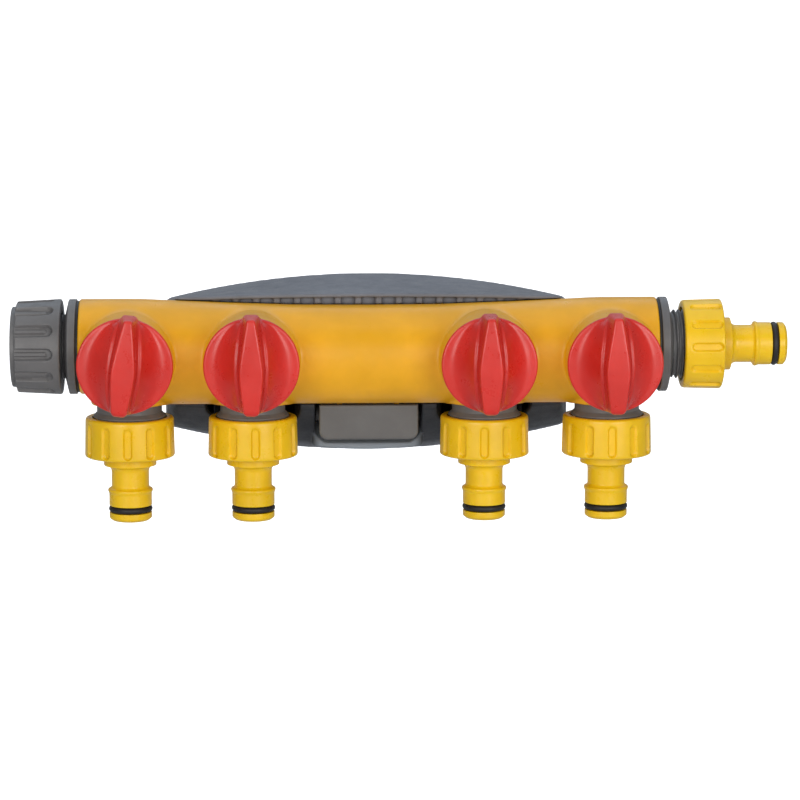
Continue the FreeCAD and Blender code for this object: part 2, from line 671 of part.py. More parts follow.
# ---------------------------------------------------------------- outlets
def make_spigot(number, x):
    body = new_body("outlet_spigot_%d" % number)
    core, nose, groove, neck = (
        dim.thread_core_r, dim.nose_r, dim.nose_groove_r, dim.spigot_neck_r)
    top, bevel, end = dim.nose_top, dim.edge_bevel, dim.spigot_end
    groove_top, groove_low = top - dim.nose_groove_from, top - dim.nose_groove_to
    shoulder = dim.socket_top - dim.spigot_gap
    revolve(body, "turned", [
        (dim.port_r, top), (nose, top), (nose, groove_top), (groove, groove_top),
        (groove, groove_low), (nose, groove_low), (nose, shoulder), (neck, shoulder),
        (neck, dim.bead_top), (dim.bead_r, dim.bead_top - dim.bead_bevel),
        (dim.bead_r, dim.bead_low), (core, dim.bead_low - dim.bead_foot),
        (core, end + bevel), (core - bevel, end), (dim.spigot_bore_r, end),
        (dim.spigot_bore_r, dim.spigot_bore_top), (dim.port_r, dim.spigot_port_low),
    ])
    thread(body, dim.spigot_thread_low, dim.spigot_turns)
    done(place(body, x, AXIS_Y, 0.0))
    seal = torus("spigot_seal_%d" % number, dim.spigot_seal_r, dim.spigot_seal_section_r)
    done(place(seal, x, AXIS_Y, (groove_top + groove_low) / 2.0))


def make_outlet_hose_end(number, x):
    place(make_connector("outlet_connector_%d" % number), x, AXIS_Y, dim.outlet_mouth)
    washer_low = dim.spigot_end - dim.washer_thick - dim.washer_gap
    place(make_washer("outlet_washer_%d" % number), x, AXIS_Y, washer_low)
    ring_height = dim.outlet_mouth - dim.ring_place
    place(make_nose_ring("nose_oring_%d" % number), x, AXIS_Y, ring_height)


# ---------------------------------------------------------------- valves
def make_ball(number, x, angle):
    """Ball bored along z and slotted at the front for the stem."""
    body = new_body("valve_ball_%d" % number)
    radius, half = dim.ball_r, dim.ball_slot / 2.0
    over = radius + OVERCUT
    revolve(body, "sphere", [(0.0, -radius, (radius, 0.0)), (0.0, radius)])
    sketch = circle(new_sketch(body, "bore_round", "XY", -over), 0.0, 0.0, dim.ball_bore_r)
    pocket(body, sketch, "bore", over * 2.0, back=True)
    sketch = new_sketch(body, "slot_outline", "XZ", dim.ball_slot_floor)
    rectangle(sketch, -half, half, -over, over)
    pocket(body, sketch, "slot", dim.ball_slot_cut, back=True)
    done(place(body, x, AXIS_Y, VALVE_Z, FreeCAD.Rotation(V(0, 1, 0), angle)))


def make_seats(number, x):
    """Two coned seat rings facing each other above and below the ball."""
    inside, outside, near, far, cone = (
        dim.seat_in_r, dim.seat_out_r, dim.seat_near, dim.seat_far, dim.seat_cone)
    rings = []
    for part, sign in (("upper", 1.0), ("lower", -1.0)):
        ring = new_body("seat_%s_%d" % (part, number))
        points = [
            (inside, far), (outside, far), (outside, near), (cone - near, near),
            (inside, cone - inside),
        ]
        revolve(ring, "ring", [(radius, height * sign) for radius, height in points])
        rings.append(ring)
    place(pair("ball_seats_%d" % number, rings), x, AXIS_Y, VALVE_Z)


def make_stem(number, x, angle):
    """Stem and its two rings; local z points to the front, local y up."""
    body = new_body("valve_stem_%d" % number)
    shaft, journal, groove = dim.stem_shaft_r, dim.journal_r, dim.stem_groove_r
    first = dim.journal_from + dim.stem_groove_lead
    starts = (first, first + dim.stem_groove_step)
    points = [
        (0.0, dim.tang_root), (shaft, dim.tang_root), (shaft, dim.journal_from),
        (journal, dim.journal_from),
    ]
    for start in starts:
        end = start + dim.stem_groove_wide
        points += [(journal, start), (groove, start), (groove, end), (journal, end)]
    points += [
        (journal, dim.thrust_from), (dim.thrust_r, dim.thrust_from),
        (dim.thrust_r, dim.thrust_to), (dim.upper_shaft_r, dim.thrust_to),
        (dim.upper_shaft_r, dim.upper_shaft_to), (0.0, dim.upper_shaft_to),
    ]
    revolve(body, "turned", points)
    sketch = new_sketch(body, "tang_outline", "XY", dim.tang_tip)
    half = dim.tang_thick / 2.0
    rectangle(sketch, -half, half, -dim.tang_half, dim.tang_half)
    pad(body, sketch, "tang", dim.tang_root - dim.tang_tip + JOIN)
    sketch = new_sketch(body, "square_outline", "XY", dim.upper_shaft_to - JOIN)
    half = dim.square_side / 2.0
    rectangle(sketch, -half, half, -half, half)
    pad(body, sketch, "square", dim.square_to - dim.upper_shaft_to + JOIN)
    done(place_front(body, x, angle))

    rings = []
    for count, start in enumerate(starts, start=1):
        name = "stem_ring_%d_%d" % (number, count)
        ring = torus(name, dim.stem_ring_r, dim.stem_ring_section)
        rings.append(place(ring, 0.0, 0.0, start + dim.stem_groove_wide / 2.0))
    place_front(pair("stem_orings_%d" % number, rings), x, angle)


def polar(radius, degrees):
    angle = math.radians(degrees)
    return radius * math.cos(angle), radius * math.sin(angle)


def make_bonnet(number, x):
    """Bonnet with a quarter-turn stop track in its face."""
    body = new_body("valve_bonnet_%d" % number)
    back, front, bevel = dim.bonnet_from, dim.bonnet_to, dim.bonnet_bevel
    recess, recess_to, bore = dim.bonnet_recess_r, dim.bonnet_recess_to, dim.bonnet_bore_r
    revolve(body, "turned", [
        (recess, back), (dim.bonnet_r - bevel, back), (dim.bonnet_r, back + bevel),
        (dim.bonnet_r, front), (bore, front), (bore, recess_to), (recess, recess_to),
    ])
    # the stop pin starts at the top (local +y) and swings a quarter turn towards local +x
    start = 90.0 + dim.stop_track_over.value
    end = -dim.stop_track_over.value
    outer = dim.stop_track_r + dim.stop_track_wide / 2.0
    inner = dim.stop_track_r - dim.stop_track_wide / 2.0
    sketch = outline(new_sketch(body, "track_outline", "XY", front), [
        (*polar(outer, start), polar(outer, 45.0)), polar(outer, end),
        (*polar(inner, end), polar(inner, 45.0)), polar(inner, start),
    ])
    pocket(body, sketch, "stop_track", dim.stop_track_deep)
    done(place(body, x, AXIS_Y, VALVE_Z, TO_FRONT))


def make_knob_halves(number):
    """The rising halves on the disc: a scooped bar trimmed to a dome."""
    rim, rise, base, edge = dim.knob_rim, dim.scoop_rise, dim.grip_mid_base, dim.scoop_edge
    reach, start, top = dim.knob_r - dim.scoop_inset, rim + dim.scoop_start, rim + rise
    sag_place, sag_height = base + dim.scoop_sag_place, rim + dim.scoop_sag_rise
    bar = new_body("knob_scoop_form_%d" % number)
    sketch = outline(new_sketch(bar, "scoop_outline", "XZ", -dim.scoop_half), [
        (-reach, rim - dim.scoop_sunk), (reach, rim - dim.scoop_sunk),
        (reach, start, (sag_place, sag_height)), (base - edge, top),
        (-base + edge, top, (-sag_place, sag_height)), (-reach, start),
    ])
    pad(bar, sketch, "scoops", dim.scoop_half * 2.0)
    dome = new_body("knob_dome_form_%d" % number)
    dome_middle = (dim.knob_r * dim.dome_mid_part, rim + rise * dim.dome_mid_rise)
    revolve(dome, "dome", [
        (0.0, rim - dim.dome_sunk), (reach, rim - dim.dome_sunk),
        (reach, start, dome_middle), (0.0, top + dim.dome_extra),
    ])
    return combine("MultiCommon", "knob_halves_%d" % number, [bar, dome])


def make_knob_grip(number):
    """Tall grip with bulging sides, narrower at its front face."""
    body = new_body("knob_grip_form_%d" % number)
    base_low, base_top = -dim.grip_low_reach, dim.grip_reach
    face_low, face_top = base_low + dim.grip_low_lean, base_top - dim.grip_lean
    base_end, base_mid, face_mid = dim.grip_end_base, dim.grip_mid_base, dim.grip_mid_face
    face_end, low_end, mid_height = dim.grip_top_face, dim.grip_low_face, dim.grip_mid_height
    base = new_sketch(body, "grip_base", "XY", dim.knob_back + dim.grip_root)
    outline(base, [
        (base_end, base_low, (base_mid, 0.0)), (base_end, base_top),
        (-base_end, base_top, (-base_mid, 0.0)), (-base_end, base_low),
    ])
    face = new_sketch(body, "grip_face", "XY", dim.grip_front)
    outline(face, [
        (low_end, face_low, (face_mid, mid_height)), (face_end, face_top),
        (-face_end, face_top, (-face_mid, mid_height)), (-low_end, face_low),
    ])
    loft(body, "grip", [base, face])
    return body


def make_knob(number, x, angle):
    """Round disc with two scooped halves, a tall grip, a stem socket and a stop pin."""
    disc = new_body("knob_disc_form_%d" % number)
    radius, back, rim = dim.knob_r, dim.knob_back, dim.knob_rim
    bevel, rim_bevel = dim.knob_back_bevel, dim.knob_rim_round
    revolve(disc, "disc", [
        (0.0, back), (radius - bevel, back), (radius, back + bevel),
        (radius, rim - rim_bevel), (radius - rim_bevel, rim), (0.0, rim),
    ])
    parts = [disc, make_knob_halves(number), make_knob_grip(number)]
    whole = combine("MultiFuse", "knob_whole_%d" % number, parts)
    half, start = dim.hub_socket_side / 2.0, back - OVERCUT
    socket = box("knob_socket_form_%d" % number, -half, half, -half, half,
                 start, dim.hub_socket_to)
    shaft = cylinder("knob_shaft_form_%d" % number, dim.upper_shaft_r + dim.hub_shaft_gap,
                     dim.upper_shaft_to + dim.hub_end_gap - start, 0.0, 0.0, start)
    holes = combine("MultiFuse", "knob_holes_%d" % number, [socket, shaft])
    bored = cut("knob_bored_%d" % number, whole, holes)
    pin = cylinder("knob_stop_pin_%d" % number, dim.stop_pin_r,
                   back - dim.stop_pin_from + dim.stop_pin_sunk,
                   0.0, dim.stop_track_r, dim.stop_pin_from)
    knob = combine("MultiFuse", "knob_%d" % number, [bored, pin])
    done(place_front(knob, x, angle))


# ---------------------------------------------------------------- wall bracket
def hood(name, wall, lip, wall_depth, lip_depth):
    """Solid from a wall outline to a lip outline: (half, top mid, top end, low mid, low end)."""
    body = new_body(name)
    sketches = []
    for tag, sizes, depth in (("wall", wall, wall_depth), ("lip", lip, lip_depth)):
        half, top_mid, top_end, low_mid, low_end = sizes
        sketches.append(outline(new_sketch(body, name + "_" + tag, "XZ", depth), [
            (half, top_end, (0.0, top_mid)), (-half, top_end),
            (-half, low_end, (0.0, low_mid)), (half, low_end),
        ]))
    loft(body, name + "_solid", sketches)
    return body


def shrink(sizes, top_wall):
    """Hood outline inside another: top_wall thick at the top, shell_thick elsewhere."""
    half, top_mid, top_end, low_mid, low_end = sizes
    wall = dim.shell_thick
    return (half - wall, top_mid - top_wall, top_end - top_wall, low_mid + wall, low_end + wall)


def make_ribs():
    """Row of upright ribs, with a plate at the wall and a web that closes the spaces."""
    body = new_body("rib_form")
    span = dim.rib_pitch * (dim.rib_count - 1.0)
    first, half = -span / 2.0, dim.rib_thick / 2.0
    sketch = new_sketch(body, "rib_outline", "XZ")
    rectangle(sketch, first - half, first + half, dim.rib_low, dim.rib_high)
    rib = pad(body, sketch, "rib", dim.rib_front)
    row = body.newObject("PartDesign::LinearPattern", "rib_row")
    row.Originals = [rib]
    row.Direction = (origin_item(body, "X_Axis"), [""])
    bind(row, Length=span)
    row.Occurrences = int(dim.rib_count.value)
    body.Tip = row
    # the plate joins the ribs so that the row is one solid before it is trimmed to the hood
    reach = dim.plate_half + dim.rib_overhang
    for name, depth, thick in (
        ("rib_tie_plate", None, dim.plate_thick), ("rib_web", dim.web_from, dim.web_thick),
    ):
        sketch = new_sketch(body, name + "_outline", "XZ", depth)
        rectangle(sketch, -reach, reach, dim.rib_low, dim.rib_high)
        pad(body, sketch, name, thick)
    return body


def rod(name, x, radius, front, back):
    """Cylinder at screw height between two y places."""
    return cylinder(name, radius, back - front, x, back, dim.screw_height, TO_FRONT)


def make_bracket_solid():
    wall = (dim.plate_half, dim.arch_mid, dim.arch_end, dim.keel_mid, dim.keel_end)
    lip = (dim.lip_half, dim.lip_mid, dim.lip_end, dim.sill_mid, dim.sill_end)
    outer = hood("hood_outer_form", wall, lip, 0.0, dim.lip_depth)
    inner = hood("hood_inner_form", shrink(wall, dim.shell_thick), shrink(lip, dim.lip_thick),
                 dim.plate_thick - JOIN, dim.lip_depth + dim.hood_overcut)
    shell = cut("hood_shell", outer, inner)
    ribs = combine("MultiCommon", "ribs_trimmed", [make_ribs(), outer])
    reach = dim.bay_half + dim.bay_wall
    block = box("bay_block_form", -reach, reach, -dim.lip_depth, -dim.block_back,
                dim.block_low, dim.bay_top)
    cheeks = combine("MultiCommon", "bay_cheeks", [block, outer])
    posts = [
        rod("screw_post_" + side, dim.screw_place * sign, dim.screw_head_r + dim.post_wall,
            -dim.post_front, -dim.post_back)
        for side, sign in SIDES
    ]
    solid = combine("MultiFuse", "bracket_plus", [shell, ribs, cheeks] + posts)
    solid.Refine = False
    return solid


def make_bracket_cutters():
    """Manifold cradle, latch bay, screw and key places, outlet rooms and pivot hole."""
    cradle = new_body("cradle_form")
    tube_loft(cradle, "cradle_skin", dim.cradle_gap)
    place(cradle, 0.0, AXIS_Y, 0.0)
    bay = box("bay_form", -dim.bay_half, dim.bay_half, -dim.cutter_front, -dim.plate_thick,
              dim.bay_low, dim.bay_top - dim.bay_roof)
    cutters = [cradle, bay]
    key_half = dim.key_wide / 2.0 + dim.key_room
    key_tall = dim.key_tall / 2.0 + dim.key_room_tall
    for side, sign in SIDES:
        screw_x, key_x = dim.screw_place * sign, dim.key_place * sign
        cutters += [
            rod("screw_head_form_" + side, screw_x, dim.screw_head_r,
                -dim.cutter_front, -dim.plate_thick - dim.screw_seat),
            rod("screw_hole_form_" + side, screw_x, dim.screw_r,
                -dim.screw_hole_front, dim.screw_hole_back),
            box("key_form_" + side, key_x - key_half, key_x + key_half,
                AXIS_Y + dim.key_room_front, AXIS_Y + dim.key_reach + dim.key_room_back,
                VALVE_Z - key_tall, VALVE_Z + key_tall),
        ]
    for side, sign in SIDES:
        cutters.append(cylinder(
            "outlet_room_" + side, dim.nut_r_end + dim.outlet_room,
            dim.outlet_room_top - dim.outlet_room_low,
            dim.outlet_inner * sign, AXIS_Y, dim.outlet_room_low))
    reach = dim.bay_half + dim.bay_wall + OVERCUT
    cutters.append(cylinder("pivot_hole_form", dim.pivot_hole_r, reach * 2.0,
                            -reach, -dim.pivot_depth, dim.pivot_height, TO_RIGHT))
    return cutters


def make_chin():
    """Bar under the bay: its upper face slopes down to the front, its nose is round."""
    body = new_body("chin_form")
    reach = dim.bay_half + dim.bay_wall
    nose, front, root = -dim.chin_nose, dim.chin_front, -dim.chin_root
    sketch = outline(new_sketch(body, "chin_outline", "YZ", -reach), [
        (root, dim.chin_back), (nose + 2.0, front - 0.4),
        (nose, front + 0.9, (nose + 0.4, front)), (nose + 1.0, dim.chin_floor_front),
        (-dim.chin_floor_bend, dim.chin_floor_back), (root, dim.chin_floor_back),
    ])
    pad(body, sketch, "chin", reach * 2.0)
    return body


def make_bracket():
    bracket = make_bracket_solid()
    for number, tool in enumerate(make_bracket_cutters(), start=1):
        bracket = cut("bracket_cut_%d" % number, bracket, tool)
        bracket.Refine = False
    whole = combine("MultiFuse", "wall_bracket", [bracket, make_chin()])
    whole.Refine = False
    done(whole)


# ---------------------------------------------------------------- release latch
def crosswise(body, name, half, shape):
    """Pads a radius, or a list of (y, z) points, from -half to half along X."""
    sketch = new_sketch(body, name + "_outline", "YZ", -half)
    if isinstance(shape, list):
        outline(sketch, shape)
    else:
        circle(sketch, 0.0, 0.0, shape)
    pad(body, sketch, name, half * 2.0)


def make_latch():
    """Latch modelled about its pivot, with the paddle in front and the hook upwards."""
    body = new_body("release_latch")
    depth, height = dim.pivot_depth, dim.pivot_height
    crosswise(body, "barrel", dim.barrel_half, dim.barrel_r)
    crosswise(body, "pins", dim.pivot_reach, dim.pivot_r)
    arm_end, arm_top = depth - dim.paddle_front + dim.arm_inset, dim.arm_thick / 2.0
    crosswise(body, "arm", dim.arm_half, [
        (arm_end, -arm_top), (0.0, -arm_top), (0.0, arm_top), (arm_end, arm_top),
    ])
    hook_front, hook_back = depth - dim.hook_front, depth - dim.hook_back
    hook_top, hook_low = dim.hook_top - height, arm_top - JOIN
    crosswise(body, "hook", dim.hook_half, [
        (hook_front, hook_low), (hook_back, hook_low), (hook_back, hook_top),
        (hook_back - dim.hook_tip, hook_top), (hook_front, hook_top - dim.hook_slope),
    ])
    # paddle with its two lower corners rounded
    half, corner = dim.paddle_half, dim.paddle_corner
    low, top = dim.paddle_low - height, dim.paddle_top - height
    sag = corner * CORNER_SAG
    back = dim.paddle_front - depth - dim.paddle_thick
    sketch = outline(new_sketch(body, "paddle_outline", "XZ", back), [
        (-half, low + corner, (-half + sag, low + sag)), (-half + corner, low),
        (half - corner, low, (half - sag, low + sag)), (half, low + corner),
        (half, top), (-half, top),
    ])
    pad(body, sketch, "paddle", dim.paddle_thick)
    done(place(body, 0.0, -depth, height))


# ---------------------------------------------------------------- build, check and export
def check():
    faults = []
    for obj in doc.Objects:
        state = list(getattr(obj, "State", []))
        if "Invalid" in state or "Error" in state:
            faults.append("%s (%s): %s" % (obj.Name, obj.Label, state))
    for obj in FINAL:
        shape = obj.Shape
        if shape.isNull() or not shape.isValid() or not shape.Solids:
            faults.append("%s: shape null or not valid" % obj.Label)
        wanted = 2 if obj.Label.startswith(("ball_seats", "stem_orings")) else 1
        if not shape.isNull() and len(shape.Solids) != wanted:
            faults.append("%s: %d solids" % (obj.Label, len(shape.Solids)))
    if faults:
        raise RuntimeError("; ".join(faults))


make_manifold()
make_tube_ends()
for number, x in enumerate(PLACES, start=1):
    angle = dim.first_knob_turn.value if number == 1 else 0.0
    make_spigot(number, x)
    make_outlet_hose_end(number, x)
    make_ball(number, x, angle)
    make_seats(number, x)
    make_stem(number, x, angle)
    make_bonnet(number, x)
    make_knob(number, x, angle)
make_bracket()
make_latch()
doc.recompute()
check()
os.makedirs("parts", exist_ok=True)
for obj in FINAL:
    obj.Shape.exportStep("parts/%s.step" % obj.Label)
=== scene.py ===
# A water manifold on a wall bracket: a yellow barrel with four red knobs in front and four hose
# connectors below, an inlet connector on the right end, a cap on the left and a latch below.
# X runs right along the barrel, the wall is the plane y = 0, the front faces -Y and Z is up.
# Sizes are in millimetres down to the studio section, which is in metres.
import bpy
import json
import math
import numpy as np
from mathutils import Matrix, Vector


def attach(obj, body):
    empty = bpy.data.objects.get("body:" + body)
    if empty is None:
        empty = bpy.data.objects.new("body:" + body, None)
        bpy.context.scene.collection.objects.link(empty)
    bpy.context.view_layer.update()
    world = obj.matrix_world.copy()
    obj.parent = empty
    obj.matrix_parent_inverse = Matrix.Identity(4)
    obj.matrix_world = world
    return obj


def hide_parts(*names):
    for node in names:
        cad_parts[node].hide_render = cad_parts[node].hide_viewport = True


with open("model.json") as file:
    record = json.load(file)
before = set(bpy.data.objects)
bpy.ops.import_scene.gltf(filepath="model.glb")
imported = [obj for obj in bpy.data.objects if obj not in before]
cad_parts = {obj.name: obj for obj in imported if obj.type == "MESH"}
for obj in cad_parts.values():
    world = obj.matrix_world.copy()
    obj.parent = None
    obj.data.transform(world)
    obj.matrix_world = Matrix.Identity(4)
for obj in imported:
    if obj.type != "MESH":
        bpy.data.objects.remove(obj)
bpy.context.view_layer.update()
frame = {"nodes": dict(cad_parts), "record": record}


MM = 0.001
AXIS_Y = -35.0                          # barrel axis, at z = 0
INNER_X, OUTER_X = 44.4, 91.5           # outlets either side of the middle
OUTLETS = {1: -OUTER_X, 2: -INNER_X, 3: INNER_X, 4: OUTER_X}
VALVE_Z = -3.3                          # height of the knob axes
RIB_PITCH = 7.78                        # bracket ribs
KEY_X = 3 * RIB_PITCH                   # body keys and their slots in the bracket
SCREW_X = 6 * RIB_PITCH                 # bracket screw holes
PIVOT_Y, PIVOT_Z = -12.0, -29.5         # latch hinge line


# ---------------------------------------------------------------- meshes
def make_mesh(name, verts, quads, sharp_angle=None):
    """Smooth-shaded quad mesh from millimetre points; edges over sharp_angle degrees stay sharp."""
    verts = np.ascontiguousarray(verts, np.float64) * MM
    quads = np.ascontiguousarray(quads, np.int32)
    mesh = bpy.data.meshes.new(name)
    mesh.vertices.add(len(verts))
    mesh.vertices.foreach_set("co", verts.astype(np.float32).ravel())
    mesh.loops.add(len(quads) * 4)
    mesh.loops.foreach_set("vertex_index", quads.ravel())
    mesh.polygons.add(len(quads))
    mesh.polygons.foreach_set("loop_start", np.arange(0, len(quads) * 4, 4, dtype=np.int32))
    mesh.update(calc_edges=True)
    mesh.validate()
    mesh.polygons.foreach_set("use_smooth", np.ones(len(mesh.polygons), bool))
    if sharp_angle:
        mesh.set_sharp_from_angle(angle=math.radians(sharp_angle))
    mesh.update()
    return mesh


def put(name, mesh, body, replaced, slot, place=None, material=None):
    """Place a mesh as an object riding on body, in the material named after its slot by default."""
    ob = bpy.data.objects.new(name, mesh)
    bpy.context.scene.collection.objects.link(ob)
    if place is not None:
        ob.matrix_world = place
    if not mesh.materials:
        mesh.materials.append(MATERIALS[material or slot])
    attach(ob, body)
    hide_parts(replaced)


def at(x, z=0.0):
    """Move to x, z in the upright plane of the barrel axis."""
    return Matrix.Translation((x * MM, AXIS_Y * MM, z * MM))


def turn(degrees, axis):
    return Matrix.Rotation(math.radians(degrees), 4, axis)


# ---------------------------------------------------------------- signed distance solids
def smin(a, b, k):
    """Union of two distances with a blend k wide."""
    h = np.clip(0.5 + 0.5 * (b - a) / k, 0.0, 1.0)
    return b * (1 - h) + a * h - k * h * (1 - h)


def smax(a, b, k):
    """Intersection of two distances with a blend k wide."""
    return -smin(-a, -b, k)


def cut(solid, tool, k=0):
    """Take tool away from solid, with a blend k wide or a sharp edge."""
    return smax(solid, -tool, k) if k else np.maximum(solid, -tool)


def between(value, low, high):
    return np.maximum(low - value, value - high)


CORNERS = np.array([[a, b, c] for a in (0, 1) for b in (0, 1) for c in (0, 1)])
PULL_PASSES = 4
SLAB_POINTS = 400000                    # most points sampled at once
GRADIENT_STEP = 0.02


def sample_grid(sdf, axes):
    shape = tuple(len(a) for a in axes)
    field = np.empty(shape, np.float32)
    section = np.stack(np.meshgrid(axes[1], axes[2], indexing="ij"), -1).reshape(-1, 2)
    slab = max(1, int(SLAB_POINTS / len(section)))
    for i in range(0, shape[0], slab):
        xs = axes[0][i:i + slab]
        points = np.empty((len(xs), len(section), 3))
        points[:, :, 0] = xs[:, None]
        points[:, :, 1:] = section[None]
        field[i:i + slab] = sdf(points.reshape(-1, 3)).reshape(len(xs), *shape[1:])
    return field


def crossing_centres(field, cells):
    """Mean crossing point on the edges of each cell, in grid steps."""
    values = np.empty((len(cells), 8))
    for i, corner in enumerate(CORNERS):
        values[:, i] = field[tuple((cells + corner).T)]
    total = np.zeros((len(cells), 3))
    count = np.zeros(len(cells))
    for a in range(8):
        for b in range(a + 1, 8):
            if np.abs(CORNERS[a] - CORNERS[b]).sum() != 1:
                continue
            start, end = values[:, a], values[:, b]
            cross = (start < 0) != (end < 0)
            t = np.where(cross, start / np.where(cross, start - end, 1), 0)
            total += (CORNERS[a] + t[:, None] * (CORNERS[b] - CORNERS[a])) * cross[:, None]
            count += cross
    return cells + total / count[:, None]


def pull_onto(sdf, points, most):
    for _ in range(PULL_PASSES):
        distance = sdf(points)
        nudges = np.eye(3) * GRADIENT_STEP
        slope = np.stack([(sdf(points + nudge) - sdf(points - nudge)) / (2 * GRADIENT_STEP)
                          for nudge in nudges], -1)
        steepness = np.maximum((slope ** 2).sum(-1), 0.15)
        move = -(distance / steepness)[:, None] * slope
        length = np.linalg.norm(move, axis=1)
        move *= np.minimum(1.0, most / np.maximum(length, 1e-9))[:, None]
        points += move


def surface(name, sdf, low, high, step):
    """Closed quad mesh of sdf = 0: one vertex per crossed cell, then pulled onto the surface."""
    low, high = np.array(low, float), np.array(high, float)
    size = np.ceil((high - low) / step).astype(int) + 1
    field = sample_grid(sdf, [low[i] + np.arange(size[i]) * step for i in range(3)])
    inside = field < 0
    count = np.zeros(tuple(size - 1), np.int8)
    for dx, dy, dz in CORNERS:
        count += inside[dx:size[0] - 1 + dx, dy:size[1] - 1 + dy, dz:size[2] - 1 + dz]
    active = (count > 0) & (count < 8)
    cells = np.argwhere(active)
    index = np.full(active.shape, -1, np.int64)
    index[active] = np.arange(len(cells))
    points = low + crossing_centres(field, cells) * step
    pull_onto(sdf, points, 0.4 * step)

    # one quad round each grid edge that crosses the surface
    quads = []
    for axis in range(3):
        first, second = [a for a in range(3) if a != axis]
        edges = np.argwhere(np.diff(inside, axis=axis))
        within = np.ones(len(edges), bool)
        for a in (first, second):
            within &= (edges[:, a] > 0) & (edges[:, a] < size[a] - 1)
        edges = edges[within]
        ring = []
        for da, db in ((-1, -1), (0, -1), (0, 0), (-1, 0)):
            cell = edges.copy()
            cell[:, first] += da
            cell[:, second] += db
            ring.append(index[tuple(cell.T)])
        quad = np.stack(ring, -1)
        backward = inside[tuple(edges.T)] == (axis == 1)
        quad[backward] = quad[backward][:, ::-1]
        quads.append(quad)
    return make_mesh(name, points, np.concatenate(quads))


# ---------------------------------------------------------------- turned solids
CORNER_SEGMENTS = 4
TURNED_SHARP_ANGLE = 42.0


def rounded(outline, radius):
    """Closed outline with its corners rounded. outline: (r, z) or (r, z, own corner radius)."""
    out = []
    flat = [np.array(p[:2], float) for p in outline]
    for i, here in enumerate(flat):
        corner = outline[i][2] if len(outline[i]) > 2 else radius
        back, ahead = flat[i - 1] - here, flat[(i + 1) % len(flat)] - here
        back_length, ahead_length = np.linalg.norm(back), np.linalg.norm(ahead)
        if corner <= 0 or back_length < 1e-6 or ahead_length < 1e-6:
            out.append(here)
            continue
        back, ahead = back / back_length, ahead / ahead_length
        angle = math.acos(max(-1, min(1, float(back @ ahead))))
        if angle > math.pi - 0.05:
            out.append(here)
            continue
        trim = min(corner / math.tan(angle / 2), back_length * 0.48, ahead_length * 0.48)
        start, end = here + back * trim, here + ahead * trim
        for k in range(CORNER_SEGMENTS + 1):
            s = k / CORNER_SEGMENTS
            out.append((1 - s) ** 2 * start + 2 * s * (1 - s) * here + s ** 2 * end)
    return np.array(out)


def resample(outline, most):
    out = []
    for a, b in zip(outline, np.roll(outline, -1, axis=0)):
        parts = max(1, int(math.ceil(np.linalg.norm(b - a) / most)))
        for j in range(parts):
            out.append(a + (b - a) * j / parts)
    return np.array(out)


def turned(name, outline, around, most, shape=None, corner=0.25):
    """Solid of revolution about Z from a closed outline; shape(theta, r, z) gives a new radius."""
    line = resample(rounded(outline, corner), most)
    r, z = line.T
    if np.sum(r * np.roll(z, -1) - np.roll(r, -1) * z) < 0:
        line = line[::-1]
    angles = np.linspace(0, 2 * math.pi, around, endpoint=False)
    theta, radius = np.meshgrid(angles, line[:, 0], indexing="xy")
    z = np.repeat(line[:, 1][:, None], around, 1)
    if shape is not None:
        radius = shape(theta, radius, z)
    verts = np.stack([radius * np.cos(theta), radius * np.sin(theta), z], -1).reshape(-1, 3)
    row = np.arange(len(line))[:, None]
    col = np.arange(around)[None]
    next_row, next_col = (row + 1) % len(line) * around, (col + 1) % around
    row = row * around
    quads = np.stack([row + col, row + next_col, next_row + next_col, next_row + col], -1)
    return make_mesh(name, verts, quads.reshape(-1, 4), TURNED_SHARP_ANGLE)


# ---------------------------------------------------------------- materials
def srgb(*channels):
    def linear(c):
        c /= 255.0
        return c / 12.92 if c <= 0.04045 else ((c + 0.055) / 1.055) ** 2.4
    return tuple(linear(c) for c in channels) + (1.0,)


def scaled(colour, factor, lift=0.0):
    return tuple(min(1.0, v * factor + lift) for v in colour[:3]) + (1.0,)


